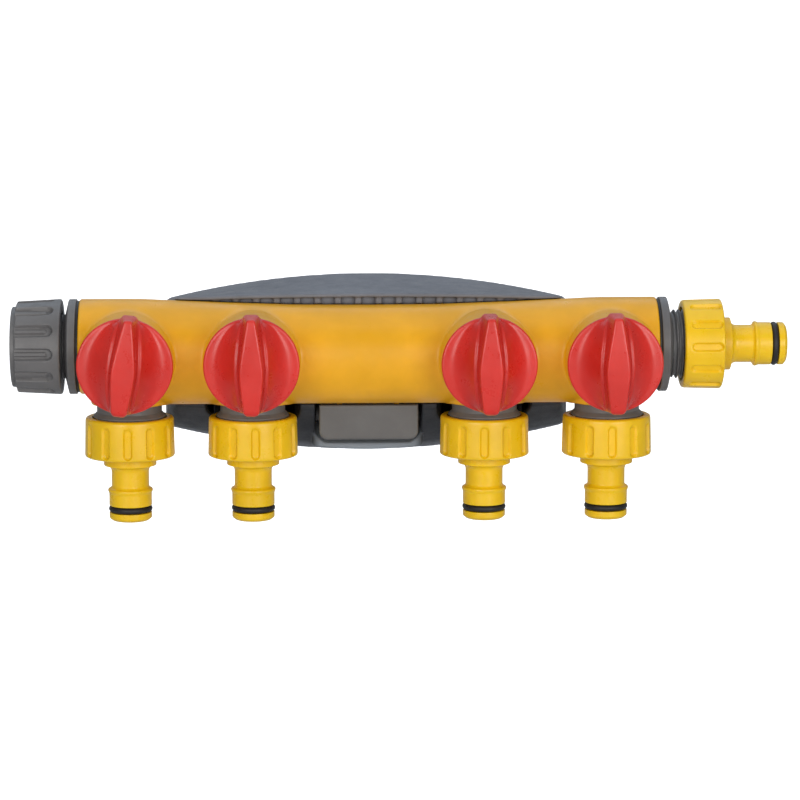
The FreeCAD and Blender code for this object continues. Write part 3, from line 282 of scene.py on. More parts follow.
class Shader:
    """One material's node tree, with a texture place shifted at random for each object."""

    def __init__(self, name):
        self.material = bpy.data.materials.new(name)
        self.material.use_nodes = True
        tree = self.material.node_tree
        self.new, self.link = tree.nodes.new, tree.links.new
        tree.nodes.clear()
        output = self.new("ShaderNodeOutputMaterial")
        self.bsdf = self.new("ShaderNodeBsdfPrincipled")
        self.link(self.bsdf.outputs[0], output.inputs[0])
        self.local = self.new("ShaderNodeTexCoord").outputs["Object"]
        info = self.new("ShaderNodeObjectInfo")
        shift = self.new("ShaderNodeVectorMath")
        shift.operation = "MULTIPLY_ADD"
        self.link(info.outputs["Random"], shift.inputs[0])
        shift.inputs[1].default_value = (3.1, 1.7, 2.3)
        self.link(self.local, shift.inputs[2])
        self.place = shift.outputs[0]

    def feed(self, value, socket):
        if isinstance(value, bpy.types.NodeSocket):
            self.link(value, socket)
        else:
            socket.default_value = value

    def noise(self, scale, detail, roughness=0.55, stretch=None):
        node = self.new("ShaderNodeTexNoise")
        node.inputs["Scale"].default_value = scale
        node.inputs["Detail"].default_value = detail
        node.inputs["Roughness"].default_value = roughness
        place = self.place
        if stretch:
            mapping = self.new("ShaderNodeMapping")
            mapping.inputs["Scale"].default_value = stretch
            self.link(place, mapping.inputs[0])
            place = mapping.outputs[0]
        self.link(place, node.inputs["Vector"])
        return node.outputs["Fac"]

    def ramp(self, value, from_min, from_max, to_min, to_max):
        node = self.new("ShaderNodeMapRange")
        node.inputs["From Min"].default_value = from_min
        node.inputs["From Max"].default_value = from_max
        node.inputs["To Min"].default_value = to_min
        node.inputs["To Max"].default_value = to_max
        self.link(value, node.inputs["Value"])
        return node.outputs[0]

    def mix(self, factor, a, b):
        node = self.new("ShaderNodeMix")
        node.data_type = "RGBA"
        self.link(factor, node.inputs["Factor"])
        self.feed(a, node.inputs[6])
        self.feed(b, node.inputs[7])
        return node.outputs[2]

    def math(self, operation, a, b=None):
        node = self.new("ShaderNodeMath")
        node.operation = operation
        self.link(a, node.inputs[0])
        if b is not None:
            self.feed(b, node.inputs[1])
        return node.outputs[0]

    def both(self, a, b):
        return self.math("MULTIPLY", a, b)

    def bump(self, strength, distance, height):
        node = self.new("ShaderNodeBump")
        node.inputs["Strength"].default_value = strength
        node.inputs["Distance"].default_value = distance
        self.link(height, node.inputs["Height"])
        return node


def paint_underside_shade_and_chin_light(sh, col, mottling, colour, spec, painted_shade_factor, chin_painted_light):
    """Bracket only: painted shade low down towards the front, and the chin painted lighter as if
    lit.
    Ramp limits are places in metres."""
    ramp, both = sh.ramp, sh.both
    split = sh.new("ShaderNodeSeparateXYZ")
    sh.link(sh.local, split.inputs[0])
    x, y, z = split.outputs
    side = sh.math("ABSOLUTE", x)
    # mask for painted shade, low down and towards the front; the specular is lowered there too
    low = ramp(z, -0.016, -0.024, 0.0, 1.0)
    # mask for the chin, which is painted lighter as if lit from the front
    chin = both(ramp(side, 0.0222, 0.0184, 0.0, 1.0), ramp(y, -0.0180, -0.0172, 0.0, 1.0))
    chin = both(chin, ramp(z, -0.0345, -0.0365, 0.0, 1.0))
    chin = both(chin, ramp(y, -0.0015, -0.0060, 0.0, 1.0))
    low = both(low, ramp(y, 0.0, -0.0100, 0.0, 1.0))
    sh.link(ramp(low, 0.0, 1.0, spec, spec * 0.35), sh.bsdf.inputs["Specular IOR Level"])
    # painted shade, varied a little by the mottling
    painted_shade = both(low, ramp(mottling, 0.2, 0.8, 0.9, 1.0))
    # painted shade mixed in, then the chin's painted light colour over it
    return sh.mix(chin, sh.mix(painted_shade, col, scaled(colour, painted_shade_factor)), chin_painted_light)


def plastic(name, colour, rough, mottle, wear, bump, hollow_darkening=0.10, sss=0.0, coat=0.0, spec=0.5,
            wear_colour=None, streak=0.0, underside_painted_light=None):
    """Moulded plastic: mottle varies the colour, streak adds long pale flow marks, wear lightens
    the edges, a factor darkens the hollows, and the last is (painted shade factor, painted light
    colour of the chin)."""
    sh = Shader(name)
    ramp, mix, noise = sh.ramp, sh.mix, sh.noise
    dark = scaled(colour, 1 - mottle * 2.4)
    light = scaled(colour, 1 + mottle * 1.6, lift=0.004)
    col = mix(ramp(noise(scale=55.0, detail=3.0), 0.32, 0.68, 0.0, 1.0), dark, light)
    mottling = noise(scale=420.0, detail=5.0, roughness=0.6)
    col = mix(ramp(mottling, 0.35, 0.75, 0.0, 0.35), col, dark)
    if streak > 0:
        flow = noise(scale=30.0, detail=4.0, roughness=0.6, stretch=(0.35, 5.0, 5.0))
        col = mix(ramp(flow, 0.52, 0.75, 0.0, streak), col, light)

    # scratched edges, then darker in the hollows
    pointiness = sh.new("ShaderNodeNewGeometry").outputs["Pointiness"]
    edge = ramp(pointiness, 0.515, 0.60, 0.0, 1.0)
    scratches = noise(scale=900.0, detail=6.0, roughness=0.7)
    worn = sh.both(sh.both(edge, ramp(scratches, 0.40, 0.62, 0.15, 1.0)), wear)
    col = mix(worn, col, wear_colour or scaled(colour, 1.35, lift=0.05))
    col = mix(ramp(pointiness, 0.49, 0.42, 0.0, hollow_darkening * 2.2), col, scaled(colour, 0.42))
    # painted shade under the bracket and painted light on its chin
    if underside_painted_light:
        col = paint_underside_shade_and_chin_light(sh, col, mottling, colour, spec, *underside_painted_light)

    inputs = sh.bsdf.inputs
    sh.link(col, inputs["Base Color"])
    patches = ramp(noise(scale=160.0, detail=4.0), 0.3, 0.7, rough - 0.07, rough + 0.08)
    sh.link(sh.math("ADD", patches, ramp(scratches, 0.45, 0.8, 0.0, 0.12)), inputs["Roughness"])
    grain = sh.bump(strength=bump, distance=0.0003,
                    height=noise(scale=2600.0, detail=3.0, roughness=0.6))
    waves = sh.bump(strength=bump * 1.4, distance=0.0006,
                    height=noise(scale=150.0, detail=3.0, roughness=0.5))
    sh.link(grain.outputs[0], waves.inputs["Normal"])
    sh.link(waves.outputs[0], inputs["Normal"])
    inputs["Specular IOR Level"].default_value = spec
    if sss > 0:
        inputs["Subsurface Weight"].default_value = sss
        inputs["Subsurface Radius"].default_value = (1.0, 0.45, 0.2)
        inputs["Subsurface Scale"].default_value = 0.0016
    if coat > 0:
        inputs["Coat Weight"].default_value = coat
        inputs["Coat Roughness"].default_value = 0.12
    return sh.material


LOOKS = {
    "body_yellow": dict(colour=srgb(239, 174, 25), rough=0.34, mottle=0.035, wear=0.20,
                        bump=0.06, sss=0.06, streak=0.25, spec=0.38),
    "connector_yellow": dict(colour=srgb(244, 198, 12), rough=0.30, mottle=0.035, wear=0.22,
                             bump=0.05, sss=0.10, hollow_darkening=0.12),
    "knob_red": dict(colour=srgb(214, 40, 30), rough=0.30, mottle=0.04, wear=0.22, bump=0.05,
                     sss=0.16, hollow_darkening=0.08, coat=0.04, wear_colour=srgb(240, 110, 96)),
    "fitting_grey": dict(colour=srgb(104, 103, 104), rough=0.42, mottle=0.05, wear=0.35,
                         bump=0.14, hollow_darkening=0.16, wear_colour=srgb(160, 160, 162)),
    # bracket's last entry: painted shade factor for the underside and the chin's painted lit grey
    "bracket_grey": dict(colour=srgb(106, 108, 116), rough=0.46, mottle=0.05, wear=0.35,
                         bump=0.16, hollow_darkening=0.16, wear_colour=srgb(150, 154, 162),
                         underside_painted_light=(0.20, srgb(150, 157, 165))),
    "latch_grey": dict(colour=srgb(98, 97, 96), rough=0.44, mottle=0.05, wear=0.35, bump=0.16,
                       hollow_darkening=0.12, wear_colour=srgb(160, 160, 160)),
    "seal_rubber": dict(colour=srgb(24, 24, 25), rough=0.50, mottle=0.10, wear=0.15, bump=0.15,
                        hollow_darkening=0.05, wear_colour=srgb(70, 70, 72)),
    "washer_rubber": dict(colour=srgb(40, 40, 42), rough=0.65, mottle=0.10, wear=0.15,
                          bump=0.20, hollow_darkening=0.05),
    "ball_plastic": dict(colour=srgb(222, 222, 216), rough=0.18, mottle=0.02, wear=0.1,
                         bump=0.03),
    "seat_plastic": dict(colour=srgb(236, 236, 230), rough=0.40, mottle=0.02, wear=0.1,
                         bump=0.05),
    "stem_plastic": dict(colour=srgb(58, 58, 60), rough=0.40, mottle=0.06, wear=0.2, bump=0.10),
}
MATERIALS = {name: plastic(name, **look) for name, look in LOOKS.items()}

SLOT_OF = {part["node"]: part["material_slot"] for part in frame["record"]["subparts"]}
for node, ob in frame["nodes"].items():
    for material_slot in ob.material_slots:
        material_slot.link = "OBJECT"
        material_slot.material = MATERIALS[SLOT_OF[node]]

# ---------------------------------------------------------------- manifold body
BARREL_X = np.linspace(0, 116, 1161)    # 0.1 mm apart
# distance from the middle, barrel radius, height of the barrel's centre
STATIONS = np.array([
    (0, 18.85, -3.35), (28, 18.95, -3.25), (54.6, 19.4, -2.8), (77, 19.9, -2.3),
    (86, 20.1, -2.05), (99, 18.1, 0), (116, 18.1, 0),
])
BLUR_REACH, BLUR_WIDTH = 60, 22.0       # smoothing along the barrel, in samples
BLUR = np.exp(-0.5 * (np.arange(-BLUR_REACH, BLUR_REACH + 1) / BLUR_WIDTH) ** 2)
BLUR /= BLUR.sum()
BARREL_WALL = 3.4
BOSS_RADIUS, BOSS_TAPER, BOSS_REACH = 18.35, 0.6, 29.9
COLLAR_RADIUS = 14.6                    # round each outlet, below the barrel


def soften(column):
    values = np.interp(BARREL_X, STATIONS[:, 0], column)
    padded = np.concatenate([values[BLUR_REACH:0:-1], values, np.full(BLUR_REACH, values[-1])])
    return np.convolve(padded, BLUR, "valid")


BARREL_RADIUS, BARREL_CENTRE = soften(STATIONS[:, 1]), soften(STATIONS[:, 2])


def barrel(points, more=0.0):
    """The main tube, with its radius made larger by more."""
    side = np.abs(points[:, 0])
    radius = np.interp(side, BARREL_X, BARREL_RADIUS)
    centre = np.interp(side, BARREL_X, BARREL_CENTRE)
    return np.hypot(points[:, 1] - AXIS_Y, points[:, 2] - centre) - (radius + more)


def body_sdf(points):
    x, y, z = points.T
    side = np.abs(x)
    forward = -(y - AXIS_Y)
    dx = x - np.where(side > 68, OUTER_X, INNER_X) * np.where(x < 0, -1, 1)
    from_outlet = np.hypot(dx, y - AXIS_Y)
    from_valve = np.hypot(dx, z - VALVE_Z)

    # barrel with a round boss in front for each knob
    boss_radius = BOSS_RADIUS - BOSS_TAPER * np.clip(forward, 0, 30) / BOSS_REACH
    boss = smax(from_valve - boss_radius, forward - BOSS_REACH, 0.8)
    solid = smin(barrel(points), np.maximum(boss, -forward - 4), 1.3)
    solid = smax(solid, side - 109.9, 0.9)

    # outlet collars, the block below the middle and the keys towards the wall
    collar = smax(smax(from_outlet - COLLAR_RADIUS, -21.9 - z, 0.6), z + 8.0, 0.6)
    solid = smin(solid, collar, 1.4)
    block = smax(smax(side - 12.0, np.abs(y + 24.0) - 2.0, 0.5), between(z, -24.8, -17), 0.5)
    solid = smin(solid, block, 0.8)
    key = smax(np.abs(side - KEY_X) - 2.4, np.abs(z - VALVE_Z) - 5.0, 0.4)
    solid = smin(solid, smax(key, between(y, -22, -9.0), 0.4), 0.6)

    # water way, leaving an upright sleeve and a socket at each outlet
    hollow = np.maximum(barrel(points, -BARREL_WALL), side - 120)
    sleeve = np.maximum(from_outlet - 9.2, z - 6.55)
    socket = np.maximum(from_outlet - COLLAR_RADIUS, z + 13.0)
    solid = cut(solid, np.maximum(hollow, -np.minimum(sleeve, socket)), 0.3)

    # upright bores, widest at the bottom, then the bores from the front
    solid = cut(solid, np.maximum(from_outlet - 12.45, z + 15.5), 0.25)
    solid = cut(solid, np.maximum(from_outlet - 7.65, z - 4.75), 0.25)
    solid = cut(solid, np.maximum(from_outlet - 4.8, between(z, 0, 12)), 0.25)
    solid = cut(solid, np.maximum(from_valve - 5.0, 3.0 - forward), 0.25)
    return cut(solid, np.maximum(from_valve - 13.5, 21.0 - forward), 0.35)


body_mesh = surface("manifold_body_skin", body_sdf, (-112.4, -66.6, -26.4),
                    (112.4, -7.4, 20.2), step=0.7)
put("manifold_body_skin", body_mesh, "root", "manifold_body", "body_yellow")

# ---------------------------------------------------------------- knobs
KNOB_TURN = {1: 6.5, 2: 0.0, 3: 0.0, 4: 0.0}            # degrees
DISC_RADIUS, DISC_BACK, DISC_FRONT = 18.0, 30.1, 32.6   # faces measured out from the barrel axis
GRIP_TOP = 19.2                                         # reach of the grip above the knob axis
# the knob's own right, up, out axes onto world x, z, -y
FRONT = Matrix(((1, 0, 0, 0), (0, 0, -1, 0), (0, 1, 0, 0), (0, 0, 0, 1)))


def knob_sdf(points):
    """Columns of points: right, up and out towards the front, from the valve axis."""
    side, up, out = np.abs(points[:, 0]), points[:, 1], points[:, 2]
    radius = np.hypot(side, up)
    disc = smax(smax(radius - DISC_RADIUS, out - DISC_FRONT, 0.7), DISC_BACK - out, 0.6)

    # face sweeping up from the rim to the foot of the grip
    reach = np.clip(np.abs(up) / GRIP_TOP, 0, 1)
    foot = 3.5 + 2.8 * (1 - reach ** 2) - np.clip((up - 13.0) / 6.0, 0, 1) ** 2
    rim = np.sqrt(np.maximum(17.3 ** 2 - up ** 2, 0.01))
    across = np.clip((side - foot) / np.maximum(rim - foot, 1.0), 0, 1)
    rise = 7.6 * np.clip(1 - (up / 18.0) ** 2, 0, 1) ** 0.55
    height = 32.35 + rise * (1 - across) ** 2.1
    dish = np.maximum(smax((out - height) * 0.72, radius - 17.4, 0.5), 31.0 - out)
    solid = smin(disc, dish, 0.5)

    # upright grip bar, narrowing outward from its foot to its crest
    crest = 44.6 - 0.0035 * up ** 2
    t = np.clip((out - DISC_FRONT) / (crest - DISC_FRONT), 0, 1.1)
    from_waist = np.sqrt((up + 1.5) ** 2 + 16.0) - 4.0
    crest_half = 4.35 - np.where(up > -1.5, 0.175, 0.135) * from_waist
    half = foot + (crest_half - foot) * t
    bottom = 17.9 - 0.035 * np.maximum(out - 33, 0)
    top = GRIP_TOP - 0.05 * np.maximum(out - 33, 0)
    grip = smax((side - half) * 0.97, (out - crest) * 0.9, 0.7)
    grip = smax(smax(grip, up - top, 1.0), -bottom - up, 2.2)
    solid = smin(solid, smax(grip, 30.6 - out, 0.5), 0.55)

    # pin behind the disc, square hole and shallow round recess in the back
    pin = np.maximum(np.hypot(points[:, 0], up - 9.5) - 1.45, between(out, 27.2, 31))
    solid = np.minimum(solid, pin)
    square = np.maximum(np.maximum(side - 2.55, np.abs(up) - 2.55), out - 38.0)
    return cut(cut(solid, square), np.maximum(radius - 4.6, out - 30.45))


knob_mesh = surface("knob_mesh", knob_sdf, (-19.6, -21.0, 26.0), (19.6, 21.0, 46.2), step=0.45)
for n, x in OUTLETS.items():
    put("knob_%d_moulding" % n, knob_mesh, "valve_%d" % n, "knob_%d" % n, "knob_red",
        at(x, VALVE_Z) @ turn(KNOB_TURN[n], "Y") @ FRONT)


# ---------------------------------------------------------------- hose connectors
# Outlines of turned pieces are (radius, z) or (radius, z, corner radius).
FLUTES = 12                             # round a connector or the cap


def from_flute(theta):
    """Angle from the middle of the nearest flute."""
    step = 2 * math.pi / FLUTES
    return (theta + step / 2) % step - step / 2


def smoothstep(t):
    return t * t * (3 - 2 * t)


def press_flutes(radius, across, z, ends, half, soft, floor, outside):
    """Press round-ended flutes to the floor radius wherever radius is over outside.
    ends: z of the end centres; half: half width; soft: width of the flute's edge."""
    distance = np.hypot(across, z - np.clip(z, *ends))
    depth = smoothstep(np.clip((half - distance) / soft + 0.5, 0, 1))
    pressed = radius + (np.minimum(floor, radius) - radius) * depth
    return np.where(radius > outside, pressed, radius)


def connector_shape(theta, radius, z):
    t = from_flute(theta - math.pi / 2)
    return press_flutes(radius, t * radius, z, ends=(-12.8, -4.1), half=1.5, soft=0.75,
                        floor=16.0 / np.maximum(np.cos(t), 0.9), outside=15.5)


NECK_FILLET = 2.5
NECK_ARC = [(9.65 - NECK_FILLET * math.sin(a), -21.2 + NECK_FILLET * math.cos(a), 0)
            for a in np.linspace(0, math.pi / 2, 9)]
CONNECTOR = [
    (4.4, -12.8), (13.35, -12.8), (13.35, -2.5), (14.3, -1.6), (14.3, 0.0, 0.3),
    (16.8, 0.0, 1.7), (16.95, -4.0, 0), (17.12, -11.0, 0), (17.2, -15.2, 1.0),
    (10.05, -15.2, 0.5), (10.05, -18.7, 0.4), *NECK_ARC, (7.15, -26.9, 0.8),
    (7.6, -27.5, 0.8), (8.45, -27.95, 0.5), (8.6, -28.5, 0.4), (8.4, -29.1, 0.4),
    (8.15, -29.7, 0.4), (8.15, -34.35, 0.2), (5.95, -34.35, 0.2), (5.95, -37.05, 0.2),
    (8.15, -37.05, 0.2), (8.15, -39.2, 0.7), (6.9, -40.2, 0.8), (5.2, -40.2, 0.3),
    (4.4, -39.2, 0.5),
]
connector_mesh = turned("connector_mesh", CONNECTOR, around=360, most=0.42,
                        shape=connector_shape)

RING_RADIUS, RING_HALF = 7.2, 1.15
RING = [(RING_RADIUS + RING_HALF * math.cos(a), RING_HALF * math.sin(a), 0)
        for a in np.linspace(0, 2 * math.pi, 28, endpoint=False)]
ring_mesh = turned("nose_ring_mesh", RING, around=160, most=9, corner=0)

# ---------------------------------------------------------------- threaded fittings
THREAD_PITCH = 1.814
THREAD_CORE, THREAD_MAJOR = 12.06, 13.2
THREAD_FADE = 1.3                       # run-out at each end


def thread(start, end):
    """Shape for turned(): a right-hand ridge on the core between two z."""
    def shape(theta, radius, z):
        phase = (z - start - THREAD_PITCH * theta / (2 * math.pi)) / THREAD_PITCH
        phase = phase - np.floor(phase)
        ridge = np.clip((0.62 - np.abs(phase - 0.5) * THREAD_PITCH) / 0.48, 0, 1)
        ridge = smoothstep(ridge) * 0.85 + ridge * 0.15
        fade_in = np.clip((z - start) / THREAD_FADE, 0, 1)
        fade = fade_in * np.clip((end - z) / THREAD_FADE, 0, 1)
        threaded = THREAD_CORE + (THREAD_MAJOR - THREAD_CORE) * ridge * fade
        return np.where(np.abs(radius - THREAD_CORE) < 0.02, threaded, radius)
    return shape


SPIGOT = [
    (4.8, -11.35), (7.55, -11.35, 0.3), (7.55, -12.35), (6.1, -12.35), (6.1, -14.05),
    (7.55, -14.05), (7.55, -15.55), (12.4, -15.55, 0.4), (12.4, -25.0, 0.5),
    (13.3, -25.9, 0.5), (13.9, -26.4, 0.5), (13.9, -27.0, 0.4), (12.9, -27.3, 0.3),
    (THREAD_CORE, -27.4, 0), (THREAD_CORE, -36.7, 0), (11.2, -37.6, 0.2),
    (8.6, -37.6, 0.3), (8.6, -21.0), (4.8, -16.5),
]
spigot_mesh = turned("spigot_mesh", SPIGOT, around=240, most=0.32, shape=thread(-36.9, -27.9))

CONNECTOR_Z = -27.0
RING_DROP = 35.7                        # nose ring below the connector's rim
CONNECTOR_TURN = {1: 0, 2: 4, 3: -3, 4: 2}              # degrees
for n, x in OUTLETS.items():
    put("outlet_spigot_%d_turned" % n, spigot_mesh, "root", "outlet_spigot_%d" % n,
        "fitting_grey", at(x))
    put("outlet_connector_%d_moulding" % n, connector_mesh, "connector_%d" % n,
        "outlet_connector_%d" % n, "connector_yellow",
        at(x, CONNECTOR_Z) @ turn(CONNECTOR_TURN[n], "Z"))
    put("nose_oring_%d_ring" % n, ring_mesh, "connector_%d" % n, "nose_oring_%d" % n,
        "seal_rubber", at(x, CONNECTOR_Z - RING_DROP))

# Along the barrel, an outline's z is the distance out from the middle.
OUTWARD = {"left": turn(-90, "Y"), "right": turn(90, "Y")}
END_FITTING = [
    (9.5, 106.6), (13.8, 106.6), (14.6, 107.4), (14.6, 110.98), (18.1, 110.98, 0.3),
    (18.1, 113.9, 0.5), (12.3, 115.3, 0.4), (THREAD_CORE, 115.6, 0),
    (THREAD_CORE, 129.5, 0), (11.2, 130.3, 0.2), (9.5, 130.3, 0.4),
]
END_SEAL = [(14.75, 109.92), (17.5, 109.92, 0.2), (17.35, 110.44, 0.1), (17.5, 110.96, 0.2),
            (14.75, 110.96)]
end_mesh = turned("end_fitting_mesh", END_FITTING, around=288, most=0.3,
                  shape=thread(115.1, 129.8))
seal_mesh = turned("end_seal_mesh", END_SEAL, around=200, most=0.6)
for side, outward in OUTWARD.items():
    put(side + "_end_fitting_turned", end_mesh, "root", side + "_end_fitting", "fitting_grey",
        at(0) @ outward)
    put(side + "_end_seal_ring", seal_mesh, "root", side + "_end_seal", "seal_rubber",
        at(0) @ outward)

INLET_X = 119.7
put("inlet_connector_moulding", connector_mesh, "connector_inlet", "inlet_connector",
    "connector_yellow", at(INLET_X) @ turn(-90, "Y") @ turn(3, "Z"))
put("inlet_nose_ring", ring_mesh, "connector_inlet", "inlet_nose_oring", "seal_rubber",
    at(INLET_X + RING_DROP) @ OUTWARD["right"])

# ---------------------------------------------------------------- end cap
CAP_X = -116.6
CAP = [
    (0.02, 15.9, 0), (13.35, 15.9, 0.3), (13.35, 0.0, 0.3), (18.2, 0.0, 0.9),
    (17.95, 4.5, 0), (17.6, 11.0, 0), (17.3, 17.1, 0.9), (15.4, 17.15, 0.4),
    (15.2, 19.0, 0.6), (8.0, 19.0, 0), (0.02, 19.0, 0),
]


def cap_shape(theta, radius, z):
    """Flutes open at the closed end, each with a low rib along its floor."""
    across = from_flute(theta) * radius
    rib = np.clip((0.75 - np.abs(across)) / 0.35 + 0.5, 0, 1) * np.clip((z - 4.8) / 0.8, 0, 1)
    return press_flutes(radius, across, z, ends=(2.9 + 2.2, 40), half=2.2, soft=0.5,
                        floor=16.15 + 0.62 * rib, outside=15.6)


cap_mesh = turned("end_cap_mesh", CAP, around=432, most=0.4, shape=cap_shape)
put("end_cap_moulding", cap_mesh, "cap", "end_cap", "fitting_grey",
    at(CAP_X) @ OUTWARD["left"] @ turn(-2.5, "Z"))

# ---------------------------------------------------------------- wall bracket
HOOD_DEPTH = 34.0
BACK_HALF, FRONT_HALF = 79.0, 74.0      # half widths at the wall and at the front
BAY_HALF, BAY_BOTTOM, BAY_CORNER = 20.6, -41.8, 3.0


def hood(points, inset=0.0, lip_inset=0.0):
    """The bracket's outer form, arched above and below; lip_inset lowers the top front edge."""
    x, y, z = points.T
    side = np.abs(x)
    t = np.clip(-y / HOOD_DEPTH, -0.1, 1.1)
    ahead = np.clip(t, 0.0, 1.1)
    arch = 23.8 - 9.9 * (side / BACK_HALF) ** 2 - inset
    lip = 19.8 - 1.2 * (side / FRONT_HALF) ** 2 - lip_inset
    keel = -46.2 + 10.0 * (side / BACK_HALF) ** 2 + inset
    sill = -25.2 + 2.0 * (side / FRONT_HALF) ** 2 + inset
    top = arch + (lip - arch) * ahead ** 1.15
    bulge = 1.8 * np.sin(np.pi * np.clip(t, 0, 1))
    bottom = keel + (sill - keel) * ahead - bulge
    half = BACK_HALF - inset + (FRONT_HALF - BACK_HALF) * t
    solid = smax((z - top) * 0.97, (bottom - z) * 0.84, 0.6)
    return smax(solid, side - half, 3.0)


def bracket_sdf(points):
    x, y, z = points.T
    side = np.abs(x)
    outer = hood(points)

    # shell, closed at the wall and open in front
    solid = smax(smax(outer, -HOOD_DEPTH - y, 0.7), y, 0.3)
    inner = np.maximum(hood(points, inset=2.4, lip_inset=1.5), y + 3.0)
    solid = cut(solid, inner, 0.5)

    # upright ribs, a solid block round the latch bay and a web across the front
    half_pitch = RIB_PITCH / 2
    nearest = np.clip(np.round((x + half_pitch) / RIB_PITCH), -8, 9)
    rib = np.abs(x - (nearest * RIB_PITCH - half_pitch)) - 1.275
    rib = smax(smax(rib, -33.2 - y, 0.5), np.maximum(outer + 0.4, y + 0.5), 0.4)
    solid = smin(solid, rib, 0.6)
    block = smax(side - 24.0, outer + 0.05, 0.8)
    block = smax(block, np.maximum(z + 19.0, between(y, -30.0, -0.3)), 0.3)
    solid = np.minimum(solid, block)
    solid = smin(solid, np.maximum(np.abs(y + 29.8) - 1.0, outer + 0.4), 0.5)

    # screw posts, then the bed for the barrel
    from_screw = np.hypot(side - SCREW_X, z + 4.0)
    solid = np.minimum(solid, np.maximum(from_screw - 7.1, between(y, -9.0, -1.0)))
    solid = cut(solid, barrel(points, 0.3), 0.3)

    # latch bay with round lower corners, and room round the inner outlets
    bay_x = side - BAY_HALF + BAY_CORNER
    bay_z = BAY_BOTTOM + BAY_CORNER - z
    bay = np.hypot(np.maximum(bay_x, 0), np.maximum(bay_z, 0))
    bay = bay + np.minimum(np.maximum(bay_x, bay_z), 0) - BAY_CORNER
    solid = cut(solid, np.maximum(bay, np.maximum(z + 19.6, y + 3.0)), 0.7)
    room = np.maximum(np.hypot(side - INNER_X, y - AXIS_Y) - 18.2, z + 10.0)
    solid = cut(solid, room, 0.5)

    # chin under the bay: its upper face slopes down to a round nose in front
    under = -45.7 - 0.135 * np.minimum(y, 0.0) + 1.7 * (side / 24.0) ** 2
    ear = 4.6 * np.clip((side - 15.6) / 5.2, 0, 1) ** 2
    floor = -37.5 - 0.27 * np.maximum(-y - 3.0, 0.0) + ear
    chin = smax(smax(under - z, -16.4 - y, 2.0), z - floor, 0.9)
    chin = smax(chin, np.maximum(side - 21.6, y + 0.3), 1.4)
    solid = smin(solid, chin, 0.8)

    # stepped screw holes, key slots and the latch pivot bore
    solid = cut(solid, np.maximum(from_screw - 5.5, y + 4.6), 0.3)
    solid = cut(solid, np.maximum(from_screw - 2.75, -12 - y), 0.3)
    slot = np.maximum(np.abs(side - KEY_X) - 2.65,
                      np.maximum(np.abs(z - VALVE_Z) - 5.5, y + 8.4))
    pivot = np.maximum(np.hypot(y - PIVOT_Y, z - PIVOT_Z) - 1.86, side - 30.0)
    return cut(cut(solid, slot), pivot)


bracket_mesh = surface("wall_bracket_shell", bracket_sdf, (-81.2, -36.4, -48.6),
                       (81.2, 1.6, 26.2), step=0.62)
put("wall_bracket_shell", bracket_mesh, "root", "wall_bracket", "bracket_grey")

# ---------------------------------------------------------------- release latch
PADDLE_HALF, PADDLE_Z, PADDLE_CORNER = 19.0, -29.75, 3.4


def latch_sdf(points):
    x, y, z = points.T
    side = np.abs(x)
    from_pivot = np.hypot(y - PIVOT_Y, z - PIVOT_Z)

    # front paddle, rounded at its lower corners
    edge_x = side - PADDLE_HALF
    edge_z = np.where(z < PADDLE_Z, np.abs(z - PADDLE_Z) - 6.75, -10)
    corner = np.hypot(np.maximum(edge_x + PADDLE_CORNER, 0),
                      np.maximum(edge_z + PADDLE_CORNER, 0)) - PADDLE_CORNER
    flat = np.maximum(edge_x, between(z, -36.5, -23.0))
    paddle = smax(np.maximum(corner, flat), between(y, -36.0, -33.4), 0.9)

    # arm back to the hinge barrel with its pins, and the hook standing on the arm
    arm = np.maximum(np.abs(z - PIVOT_Z) - 1.5, between(y, -35.0, -12.0))
    arm = smax(side - 14.0, arm, 0.4)
    hinge = smax(from_pivot - 3.2, side - 20.3, 0.3)
    pins = np.maximum(from_pivot - 1.8, side - 22.6)
    slope = z + 23.3 + 0.75 * np.maximum(-27.3 - y, 0)
    hook = np.maximum(between(y, -29.5, -26.3), np.maximum(-30 - z, slope))
    hook = smax(side - 10.0, hook, 0.4)
    solid = smin(smin(paddle, arm, 1.0), hinge, 0.8)
    return np.minimum(smin(solid, hook, 0.5), pins)


latch_mesh = surface("release_latch_moulding", latch_sdf, (-24.2, -37.6, -38.0),
                     (24.2, -7.6, -21.4), step=0.42)
put("release_latch_moulding", latch_mesh, "latch", "release_latch", "bracket_grey",
    material="latch_grey")

# ---------------------------------------------------------------- studio (metres)
FLOOR_Z, SWEEP_BACK, SWEEP_RADIUS, SWEEP_HALF = -0.30, 0.2, 1.2, 4.0


def stage_material():
    """Pale matt surface that glows for the camera only."""
    material = bpy.data.materials.new("pale_stage")
    material.use_nodes = True
    tree = material.node_tree
    bsdf = tree.nodes["Principled BSDF"]
    bsdf.inputs["Base Color"].default_value = (0.62, 0.62, 0.63, 1)
    bsdf.inputs["Roughness"].default_value = 0.9
    bsdf.inputs["Specular IOR Level"].default_value = 0.2
    bsdf.inputs["Emission Color"].default_value = (1, 1, 1, 1)
    path = tree.nodes.new("ShaderNodeLightPath")
    glow = tree.nodes.new("ShaderNodeMath")
    glow.operation = "MULTIPLY"
    glow.inputs[1].default_value = 0.95
    tree.links.new(path.outputs["Is Camera Ray"], glow.inputs[0])
    tree.links.new(glow.outputs[0], bsdf.inputs["Emission Strength"])
    return material


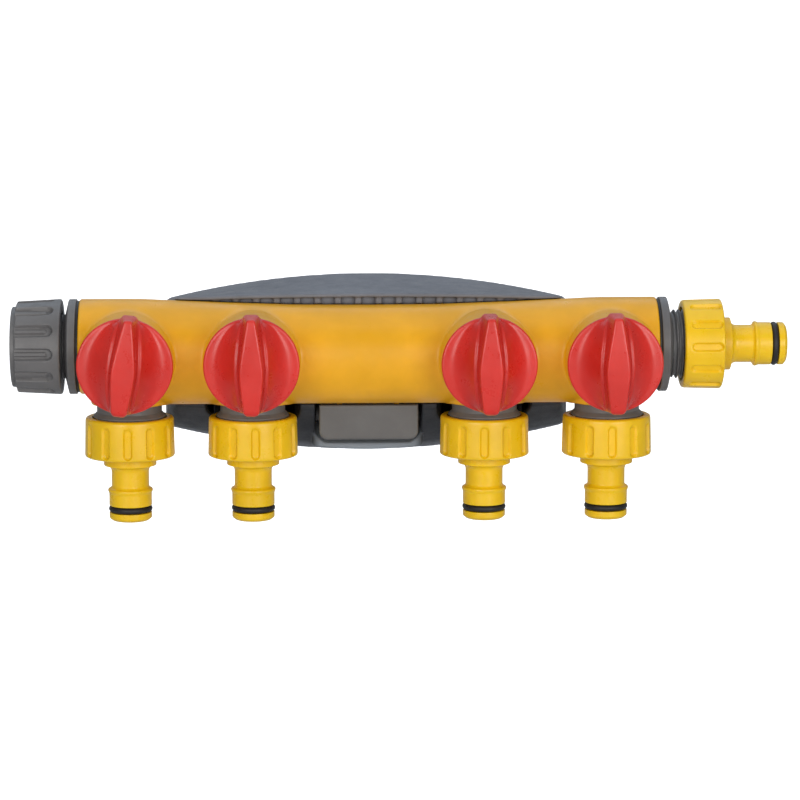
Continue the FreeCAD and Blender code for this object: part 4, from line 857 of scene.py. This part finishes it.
def add_sweep(material):
    """Floor that curves up into a back wall."""
    arc = [(SWEEP_BACK + SWEEP_RADIUS * math.sin(a),
            FLOOR_Z + SWEEP_RADIUS - SWEEP_RADIUS * math.cos(a))
           for a in np.linspace(0.1, math.pi / 2, 14)]
    line = [(-3.0, FLOOR_Z), (SWEEP_BACK, FLOOR_Z), *arc, (1.4, 3.5)]
    verts = [(x, y, z) for y, z in line for x in (-SWEEP_HALF, SWEEP_HALF)]
    faces = [(i, i + 1, i + 3, i + 2) for i in range(0, len(verts) - 2, 2)]
    mesh = bpy.data.meshes.new("sweep")
    mesh.from_pydata(verts, [], faces)
    for face in mesh.polygons:
        face.use_smooth = True
    ob = bpy.data.objects.new("sweep", mesh)
    scene.collection.objects.link(ob)
    mesh.materials.append(material)


def area(name, place, target, size, watts, colour):
    light = bpy.data.lights.new(name, "AREA")
    light.shape = "RECTANGLE"
    light.size, light.size_y = size
    light.energy = watts
    light.color = colour
    ob = bpy.data.objects.new(name, light)
    scene.collection.objects.link(ob)
    ob.location = place
    aim = Vector(target) - Vector(place)
    ob.rotation_euler = aim.to_track_quat("-Z", "Y").to_euler()


scene = bpy.context.scene
add_sweep(stage_material())

world = bpy.data.worlds.new("soft_world")
scene.world = world
world.use_nodes = True
background = world.node_tree.nodes["Background"]
background.inputs["Color"].default_value = (1.0, 1.0, 1.0, 1)
background.inputs["Strength"].default_value = 0.22

WARM = (1.0, 0.985, 0.96)
# name, place, target, size, watts, colour
LIGHTS = [
    ("top_box", (0.0, -0.1, 1.3), (0, -0.02, 0), (1.8, 1.2), 6.2, (0.84, 0.92, 1.0)),
    ("back_box", (0.0, 0.75, 0.85), (0, -0.03, 0), (1.8, 0.7), 4.0, (0.66, 0.82, 1.0)),
    ("front_left", (-0.75, -1.7, 0.32), (0, -0.03, -0.01), (1.0, 0.8), 12.3, WARM),
    ("front_right", (0.85, -1.65, 0.26), (0, -0.03, -0.01), (1.0, 0.8), 13.2, WARM),
]
for light in LIGHTS:
    area(*light)

scene.view_settings.view_transform = "Standard"
scene.view_settings.look = "None"
scene.view_settings.exposure = 0.0

CAMERA_DOWN, CAMERA_RIGHT = 8.8, 1.9880108              # aim in degrees
camera_data = bpy.data.cameras.new("camera")
camera_data.sensor_width = 36.0
camera_data.lens = 142.6
camera_data.clip_end = 20.0
camera = bpy.data.objects.new("camera", camera_data)
scene.collection.objects.link(camera)
camera.location = (-0.02965, -1.235, 0.1646)
camera.rotation_euler = (math.radians(90 - CAMERA_DOWN), 0.0, -math.radians(CAMERA_RIGHT))
scene.camera = camera
